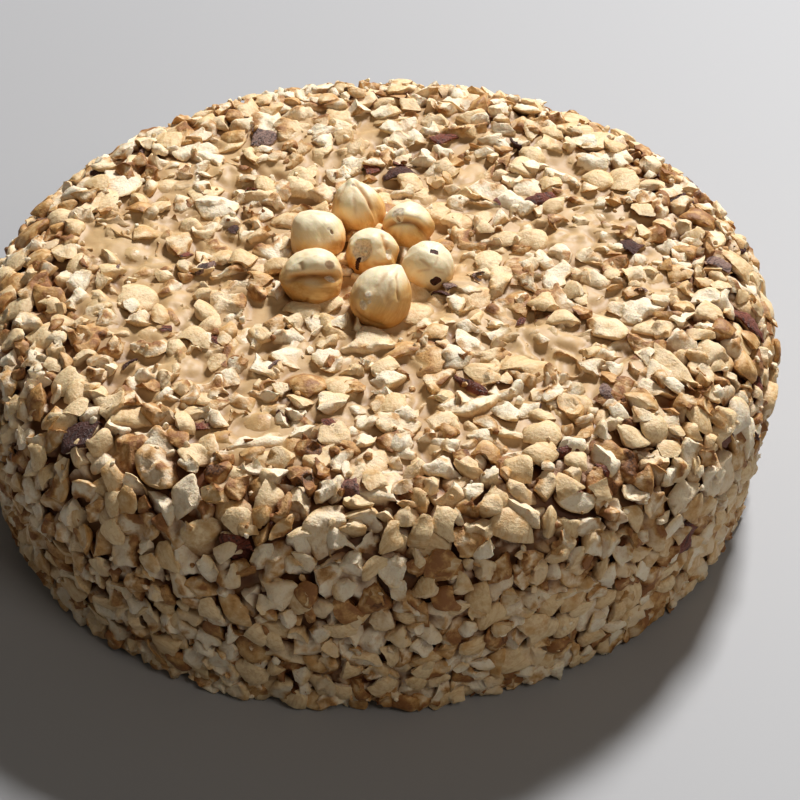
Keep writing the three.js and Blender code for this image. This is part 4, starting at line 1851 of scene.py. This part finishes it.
        # The tops are made paler as painted light from above, added to each nut's own paleness.
        height = (points[:, 2] - points[:, 2].min()) / np.ptp(points[:, 2])
        pale_and_lit_top = soft_step(height + 0.1 * ripple(plain, 7.0, seed + 5), 0.3, 1.0) * 0.75
        pale_and_lit_top = pale_and_lit_top + self.detail.paleness * 0.5
        # The grain's fourth channel carries that painted highlight with the paleness.
        grain = np.column_stack([(veins + 1) / 2, (ways[:, 2] + 1) / 2, low, np.minimum(pale_and_lit_top, 1.0)])
        write_look(nut.data, "grain", grain)
        write_look(nut.data, "axis", np.column_stack([ways * 7, np.ones(len(points))]))
        return nut


# ---- Finishes --------------------------------------------------------------------------------

Colour = tuple[int, int, int]


def linear(colour: Colour) -> tuple[float, float, float, float]:
    """A colour as a screen shows it, turned into the light that it stands for."""
    parts = [part / 255 for part in colour]
    light = [part / 12.92 if part <= 0.04045 else ((part + 0.055) / 1.055) ** 2.4 for part in parts]
    return light[0], light[1], light[2], 1.0


class Wire:
    """A value that runs through a finish's nodes, with arithmetic."""

    def __init__(self, bench: "Bench", socket: bpy.types.NodeSocket) -> None:
        """Holds one output of a node."""
        self.bench = bench
        self.socket = socket

    def _math(self, operation: str, first: Any, second: Any) -> "Wire":
        """The result of one Math node."""
        return self.bench.node("ShaderNodeMath", {"operation": operation}, {0: first, 1: second})

    def __add__(self, other: Any) -> "Wire":
        """This plus other."""
        return self._math("ADD", self, other)

    __radd__ = __add__

    def __sub__(self, other: Any) -> "Wire":
        """This less other."""
        return self._math("SUBTRACT", self, other)

    def __rsub__(self, other: Any) -> "Wire":
        """Other less this."""
        return self._math("SUBTRACT", other, self)

    def __mul__(self, other: Any) -> "Wire":
        """This times other."""
        return self._math("MULTIPLY", self, other)

    def ramp(self, low: float, high: float) -> "Wire":
        """0 below low, 1 above high and a smooth rise between them."""
        settings = {"interpolation_type": "SMOOTHSTEP"}
        sockets = {"Value": self, "From Min": low, "From Max": high}
        return self.bench.node("ShaderNodeMapRange", settings, sockets)


class Bench:
    """A material on which a finish is put together."""

    def __init__(self, name: str) -> None:
        """Starts an empty material with its shader and output."""
        self.material = bpy.data.materials.new(name)
        self.material.use_nodes = True
        self.tree = self.material.node_tree
        self.tree.nodes.clear()
        self.shader = self.tree.nodes.new("ShaderNodeBsdfPrincipled")
        output = self.tree.nodes.new("ShaderNodeOutputMaterial")
        self.tree.links.new(self.shader.outputs["BSDF"], output.inputs["Surface"])
        self.place = self.node("ShaderNodeTexCoord", {}, {}, "Object")

    def feed(self, socket: bpy.types.NodeSocket, value: Any) -> None:
        """Links a wire to a socket, or sets the socket to a value."""
        if isinstance(value, Wire):
            self.tree.links.new(value.socket, socket)
        else:
            socket.default_value = value

    def node(self, kind: str, settings: dict, sockets: dict, output: Any = 0) -> Wire:
        """Adds any node.

        Args:
            kind: The node's type.
            settings: Its own settings, set first.
            sockets: Values or wires for its inputs, by name or number.
            output: The output that is wanted.

        Returns:
            That output.
        """
        made = self.tree.nodes.new(kind)
        for name, value in settings.items():
            setattr(made, name, value)
        for name, value in sockets.items():
            self.feed(made.inputs[name], value)
        return Wire(self, made.outputs[output])

    def noise(self, size: float, detail: float = 3.0, rough: float = 0.55, at: Any = None) -> Wire:
        """Cloudy noise with lumps of a size in millimetres, or in the units of the place given."""
        scale = 1.0 / size if at is not None else 1.0 / (size * MILLIMETRE)
        place = at if at is not None else self.place
        sockets = {"Vector": place, "Scale": scale, "Detail": detail, "Roughness": rough}
        return self.node("ShaderNodeTexNoise", {}, sockets)

    def stretched(self, name: str, scale: Triple) -> Wire:
        """A place that a mesh stores under a name, scaled along its axes."""
        read = self.node("ShaderNodeAttribute", {"attribute_name": name}, {}, "Vector")
        return self.node("ShaderNodeVectorMath", {"operation": "MULTIPLY"}, {0: read, 1: scale})

    def channels(self, name: str) -> tuple[Wire, Wire, Wire, Wire]:
        """The four numbers that a mesh stores under a name."""
        read = self.tree.nodes.new("ShaderNodeAttribute")
        read.attribute_name = name
        parts = self.tree.nodes.new("ShaderNodeSeparateColor")
        self.tree.links.new(read.outputs["Color"], parts.inputs["Color"])
        red, green, blue = (Wire(self, parts.outputs[part]) for part in ("Red", "Green", "Blue"))
        return red, green, blue, Wire(self, read.outputs["Alpha"])

    def mix(self, first: Any, second: Any, share: Any) -> Wire:
        """A colour that is a share of the way from first to second."""
        first = linear(first) if isinstance(first, tuple) else first
        second = linear(second) if isinstance(second, tuple) else second
        sockets = {"Factor": share, 6: first, 7: second}
        return self.node("ShaderNodeMix", {"data_type": "RGBA"}, sockets, 2)

    def with_painted_shade(self, body: Wire, by: Colour, share: Wire) -> Wire:
        """A colour multiplied, for a share, by another, to paint shade in."""
        settings = {"data_type": "RGBA", "blend_type": "MULTIPLY"}
        return self.node("ShaderNodeMix", settings, {"Factor": share, 6: body, 7: linear(by)}, 2)

    def bump(self, height: Wire, depth: float, under: Any = None) -> Wire:
        """A surface normal raised by a height, of a depth in millimetres."""
        sockets = {"Height": height, "Distance": depth * MILLIMETRE, "Strength": 1.0}
        if under is not None:
            sockets["Normal"] = under
        return self.node("ShaderNodeBump", {}, sockets)

    def finish(self, **sockets: Any) -> bpy.types.Material:
        """Feeds the shader's sockets, with underscores for spaces, and returns the material."""
        for name, value in sockets.items():
            self.feed(self.shader.inputs[name.replace("_", " ")], value)
        return self.material


@dataclass(frozen=True)
class NutMeat:
    """Chopped hazelnut: ivory where it is cut, golden where it toasted, dark where skin is left, with
    painted shade between the pieces.
    """

    cut: Colour = (253, 237, 208)
    cut_warm: Colour = (234, 199, 145)
    outside: Colour = (241, 212, 162)
    streaks: Colour = (212, 170, 112)
    gold: Colour = (204, 154, 88)
    brown: Colour = (152, 100, 52)
    burnt: Colour = (66, 36, 20)
    skin: Colour = (86, 45, 34)
    skin_red: Colour = (132, 66, 44)
    skin_dust: Colour = (156, 130, 118)
    skin_dark: Colour = (44, 24, 21)
    cream: Colour = (205, 171, 121)
    # Painted shade, multiplied in where a piece lies deep between its neighbours.
    shade: Colour = (138, 84, 38)

    def build(self) -> bpy.types.Material:
        """Makes the material."""
        bench = Bench("nut_meat")
        # deep: the share of painted shade between the pieces.
        _, _, _, deep = bench.channels("grain")
        outer, hollow, rim, wet = bench.channels("make")
        tone, toast, skin, _ = bench.channels("look")
        cloud = bench.noise(2.6, 3.0)
        fleck = bench.noise(0.6, 4.0, 0.65)
        grain = bench.noise(0.8, 3.0, 0.6, bench.stretched("grain", (1.0, 1.0, 0.16)))
        body = bench.mix(self.cut, self.cut_warm, tone.ramp(0.3, 1.0) * 0.7 + cloud.ramp(0.45, 0.7) * 0.35)
        shell = bench.mix(self.outside, self.streaks, grain.ramp(0.42, 0.66) * 0.7 + tone * 0.2)
        body = bench.mix(body, shell, outer * 0.85)
        body = bench.mix(body, self.streaks, fleck.ramp(0.52, 0.68) * 0.35)
        gilded = toast * 0.75 + rim * toast * 0.4 + hollow * 0.5 + cloud * 1.2 - 0.92
        body = bench.mix(body, self.gold, gilded.ramp(0.0, 0.55) * 0.95)
        baked = toast * 0.72 + rim * toast * 0.3 + hollow * 0.5 + cloud * 1.0 + fleck * 0.5 - 1.38
        body = bench.mix(body, self.brown, baked.ramp(0.0, 0.4))
        scorched = toast * 0.9 + hollow * 0.35 + fleck * 0.9 - 1.5
        body = bench.mix(body, self.burnt, scorched.ramp(0.0, 0.3) * 0.9)
        husk = bench.mix(self.skin, self.skin_red, tone.ramp(0.15, 0.5))
        husk = bench.mix(husk, self.skin_dust, tone.ramp(0.6, 0.95) * 0.8)
        husk = bench.mix(husk, self.skin_dark, grain.ramp(0.47, 0.64) * 0.8)
        husk = bench.mix(husk, self.skin_dust, (fleck + cloud * 0.3).ramp(0.74, 0.86) * 0.6)
        kept = (outer + cloud * 0.9 - 0.8).ramp(0.0, 0.12) * skin
        body = bench.mix(body, husk, kept)
        film = (wet + cloud * 0.9 - 0.85).ramp(0.0, 0.4)
        body = bench.mix(body, self.cream, film * 0.85)
        # Painted shade in the gaps between pieces.
        body = bench.with_painted_shade(body, self.shade, deep)
        relief = bench.bump(cloud, 0.35)
        relief = bench.bump(fleck * (1.0 - film * 0.8) * (1.0 + kept * 1.6 - outer * 0.3), 0.34, relief)
        return bench.finish(
            Base_Color=body,
            Roughness=0.58 - film * 0.1 - outer * 0.08 - kept * 0.04,
            Specular_IOR_Level=0.4,
            Normal=relief,
            Subsurface_Weight=0.1,
            Subsurface_Radius=(1.0, 0.55, 0.25),
            Subsurface_Scale=0.001,
        )


@dataclass(frozen=True)
class CoffeeCream:
    """The coat of coffee-coloured cream."""

    body: Colour = (203, 169, 121)
    deep: Colour = (191, 155, 106)
    light: Colour = (215, 184, 139)
    # Painted shade, multiplied in where the cream lies deep between the pieces.
    shade: Colour = (122, 82, 44)

    def build(self) -> bpy.types.Material:
        """Makes the material."""
        bench = Bench("coffee_cream")
        # deep: the share of painted shade between the pieces.
        _, _, _, deep = bench.channels("grain")
        broad = bench.noise(9.0, 3.0)
        fine = bench.noise(2.0, 2.0)
        body = bench.mix(self.body, self.deep, broad.ramp(0.45, 0.75))
        body = bench.mix(body, self.light, fine.ramp(0.45, 0.85) * 0.3)
        # Painted shade in the gaps between pieces.
        body = bench.with_painted_shade(body, self.shade, deep)
        relief = bench.bump(broad, 0.5)
        relief = bench.bump(fine, 0.06, relief)
        return bench.finish(
            Base_Color=body,
            Roughness=0.46 + fine * 0.12,
            Specular_IOR_Level=0.35,
            Normal=relief,
            Subsurface_Weight=0.15,
            Subsurface_Radius=(1.0, 0.8, 0.55),
            Subsurface_Scale=0.001,
        )


@dataclass(frozen=True)
class BlanchedNut:
    """A whole hazelnut without its skin."""

    body: Colour = (239, 201, 134)
    # Pale ivory for the palest nuts and for the painted highlight on the tops.
    pale_and_lit_top: Colour = (252, 238, 202)
    gold: Colour = (210, 154, 80)
    scar: Colour = (238, 225, 200)
    scar_dark: Colour = (184, 158, 130)
    skin: Colour = (84, 44, 30)
    skin_dark: Colour = (46, 26, 20)
    pit: Colour = (140, 98, 64)
    # Painted shade in the creases.
    shade: Colour = (172, 128, 84)
    cream: Colour = (205, 171, 121)

    def build(self) -> bpy.types.Material:
        """Makes the material."""
        bench = Bench("blanched_nut")
        scar, skin, pit, crease = bench.channels("marks")
        # The grain's fourth channel is each nut's paleness with a painted highlight on its top.
        vein, _, low, pale_and_lit_top = bench.channels("grain")
        cloud = bench.noise(4.2, 3.0)
        fine = bench.noise(0.6, 4.0)
        lines = bench.noise(0.55, 3.0, 0.6, bench.stretched("axis", (1.0, 1.0, 0.12)))
        # Less gold where the top takes the painted highlight, which leaves the lower sides golden as painted
        # shade; the rest is the nut's golden streaking.
        streaky = cloud * 0.8 + lines * 0.6 + vein * 0.14 - pale_and_lit_top * 0.5
        body = bench.mix(self.body, self.gold, streaky.ramp(0.2, 0.75))
        # The painted highlight on the tops, with each nut's paleness.
        body = bench.mix(body, self.pale_and_lit_top, (pale_and_lit_top + cloud * 0.6 + lines * 0.4 - 0.95).ramp(0.0, 0.6) * 0.95)
        body = bench.mix(body, self.gold, (lines + fine * 0.3).ramp(0.74, 0.92) * 0.4)
        # Creases are tinted gold, and darkened with painted shade.
        body = bench.mix(body, self.gold, crease * 0.7)
        body = bench.with_painted_shade(body, self.shade, crease * 0.6)
        chalk = bench.mix(self.scar, self.scar_dark, fine.ramp(0.42, 0.64) * 0.6)
        body = bench.mix(body, chalk, (scar + fine * 0.3 - 0.35).ramp(0.0, 0.3) * 0.9)
        body = bench.mix(body, self.pit, (pit + fine * 0.7 - 0.7).ramp(0.0, 0.7) * 0.8)
        husk = bench.mix(self.skin, self.skin_dark, fine.ramp(0.4, 0.6))
        body = bench.mix(body, husk, skin.ramp(0.4, 0.6))
        body = bench.mix(body, self.cream, (low + cloud * 0.5 - 0.6).ramp(0.0, 0.3) * 0.8)
        relief = bench.bump(cloud, 0.25)
        relief = bench.bump(lines, 0.06, relief)
        relief = bench.bump(fine, 0.05, relief)
        return bench.finish(
            Base_Color=body,
            Roughness=0.45 + scar * 0.3 + skin * 0.3 + fine * 0.1,
            Specular_IOR_Level=0.4,
            Normal=relief,
            Subsurface_Weight=0.2,
            Subsurface_Radius=(1.0, 0.6, 0.28),
            Subsurface_Scale=0.0015,
        )


# ---- The studio ------------------------------------------------------------------------------


@dataclass(frozen=True)
class Softbox:
    """A square light that looks at the cake."""

    name: str
    place: Triple
    side: float
    power: float
    tint: Triple = (1.0, 1.0, 1.0)

    def build(self) -> None:
        """Adds the light."""
        light = bpy.data.lights.new(self.name, "AREA")
        light.shape = "SQUARE"
        light.size = self.side
        light.energy = self.power
        light.color = self.tint
        lamp = add_object(self.name, light)
        place = Vector(self.place)
        lamp.location = place
        lamp.rotation_euler = (Vector((0, 0, 0.03)) - place).to_track_quat("-Z", "Y").to_euler()


@dataclass(frozen=True)
class Studio:
    """A pale floor under soft light."""

    floor: Colour = (160, 160, 162)
    sky: float = 0.08
    sky_tint: tuple[float, float, float, float] = (1.0, 0.92, 0.82, 1.0)
    lights: tuple[Softbox, ...] = (
        Softbox("key", (0.46, 1.0, 1.15), 0.26, 38.5),
        Softbox("fill", (0.5, -0.7, 0.95), 0.4, 2.2, (1.0, 0.92, 0.82)),
    )

    def build(self) -> None:
        """Adds the floor, the lights and the ambient light."""
        deselect_all()
        bpy.ops.mesh.primitive_plane_add(size=1.0, location=(0, 0, 0))
        floor = bpy.context.object
        floor.name = "floor"
        bpy.ops.object.mode_set(mode="EDIT")
        bpy.ops.mesh.select_all(action="SELECT")
        bpy.ops.transform.resize(value=(6.0, 6.0, 1.0))
        bpy.ops.object.mode_set(mode="OBJECT")
        bench = Bench("pale_floor")
        floor.data.materials.append(bench.finish(Base_Color=linear(self.floor), Roughness=0.6))
        floor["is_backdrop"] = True
        for light in self.lights:
            light.build()
        world = bpy.data.worlds.new("studio")
        world.use_nodes = True
        world.node_tree.nodes["Background"].inputs["Color"].default_value = self.sky_tint
        world.node_tree.nodes["Background"].inputs["Strength"].default_value = self.sky
        bpy.context.scene.world = world
        bpy.context.scene.view_settings.view_transform = "Standard"


# ---- Putting it together ---------------------------------------------------------------------


def dress(piece: Piece, material: bpy.types.Material, slot: str, *nodes: str) -> None:
    """Gives a piece its finish and its place in the frame.

    Args:
        piece: The piece.
        material: Its finish.
        slot: The record's material slot that it stands for. It is not used.
        *nodes: The solids that it replaces.
    """
    piece.data.materials.clear()
    piece.data.materials.append(material)
    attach(piece, "root")
    if nodes:
        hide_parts(*nodes)
    log.info("%s: %d faces", piece.name, len(piece.data.polygons))


def main() -> None:
    """Builds the cake, piece by piece."""
    logging.basicConfig(level=logging.INFO, format="%(name)s: %(message)s")
    solid_box = [list(corner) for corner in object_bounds()]
    view = PhotoView()
    view.build()
    Studio().build()
    outline = CreamOutline()
    bed = NutBed(outline)
    bed.build()
    log.info("%d sites, %d gullies", len(bed.sites), len(bed.gullies))

    pile = Pile(outline)
    chopped = ChoppedNuts(bed, view, pile, np.array(solid_box) / MILLIMETRE)
    chopped.lay()
    coat = CreamCoat(bed, pile)
    nut_meat = NutMeat().build()
    for piece in chopped.build():
        dress(piece, nut_meat, "cream_and_chopped_nuts")
    dress(coat.build(), CoffeeCream().build(), "cream_and_chopped_nuts", "cake_body")

    blanched = BlanchedNut().build()
    for plan in WHOLE_NUTS:
        nut = WholeNut(plan, NUT_DETAILS[plan.name], view, outline).build()
        dress(nut, blanched, "whole_nut", f"hazelnut_{plan.name}")


if __name__ == "__main__":
    main()
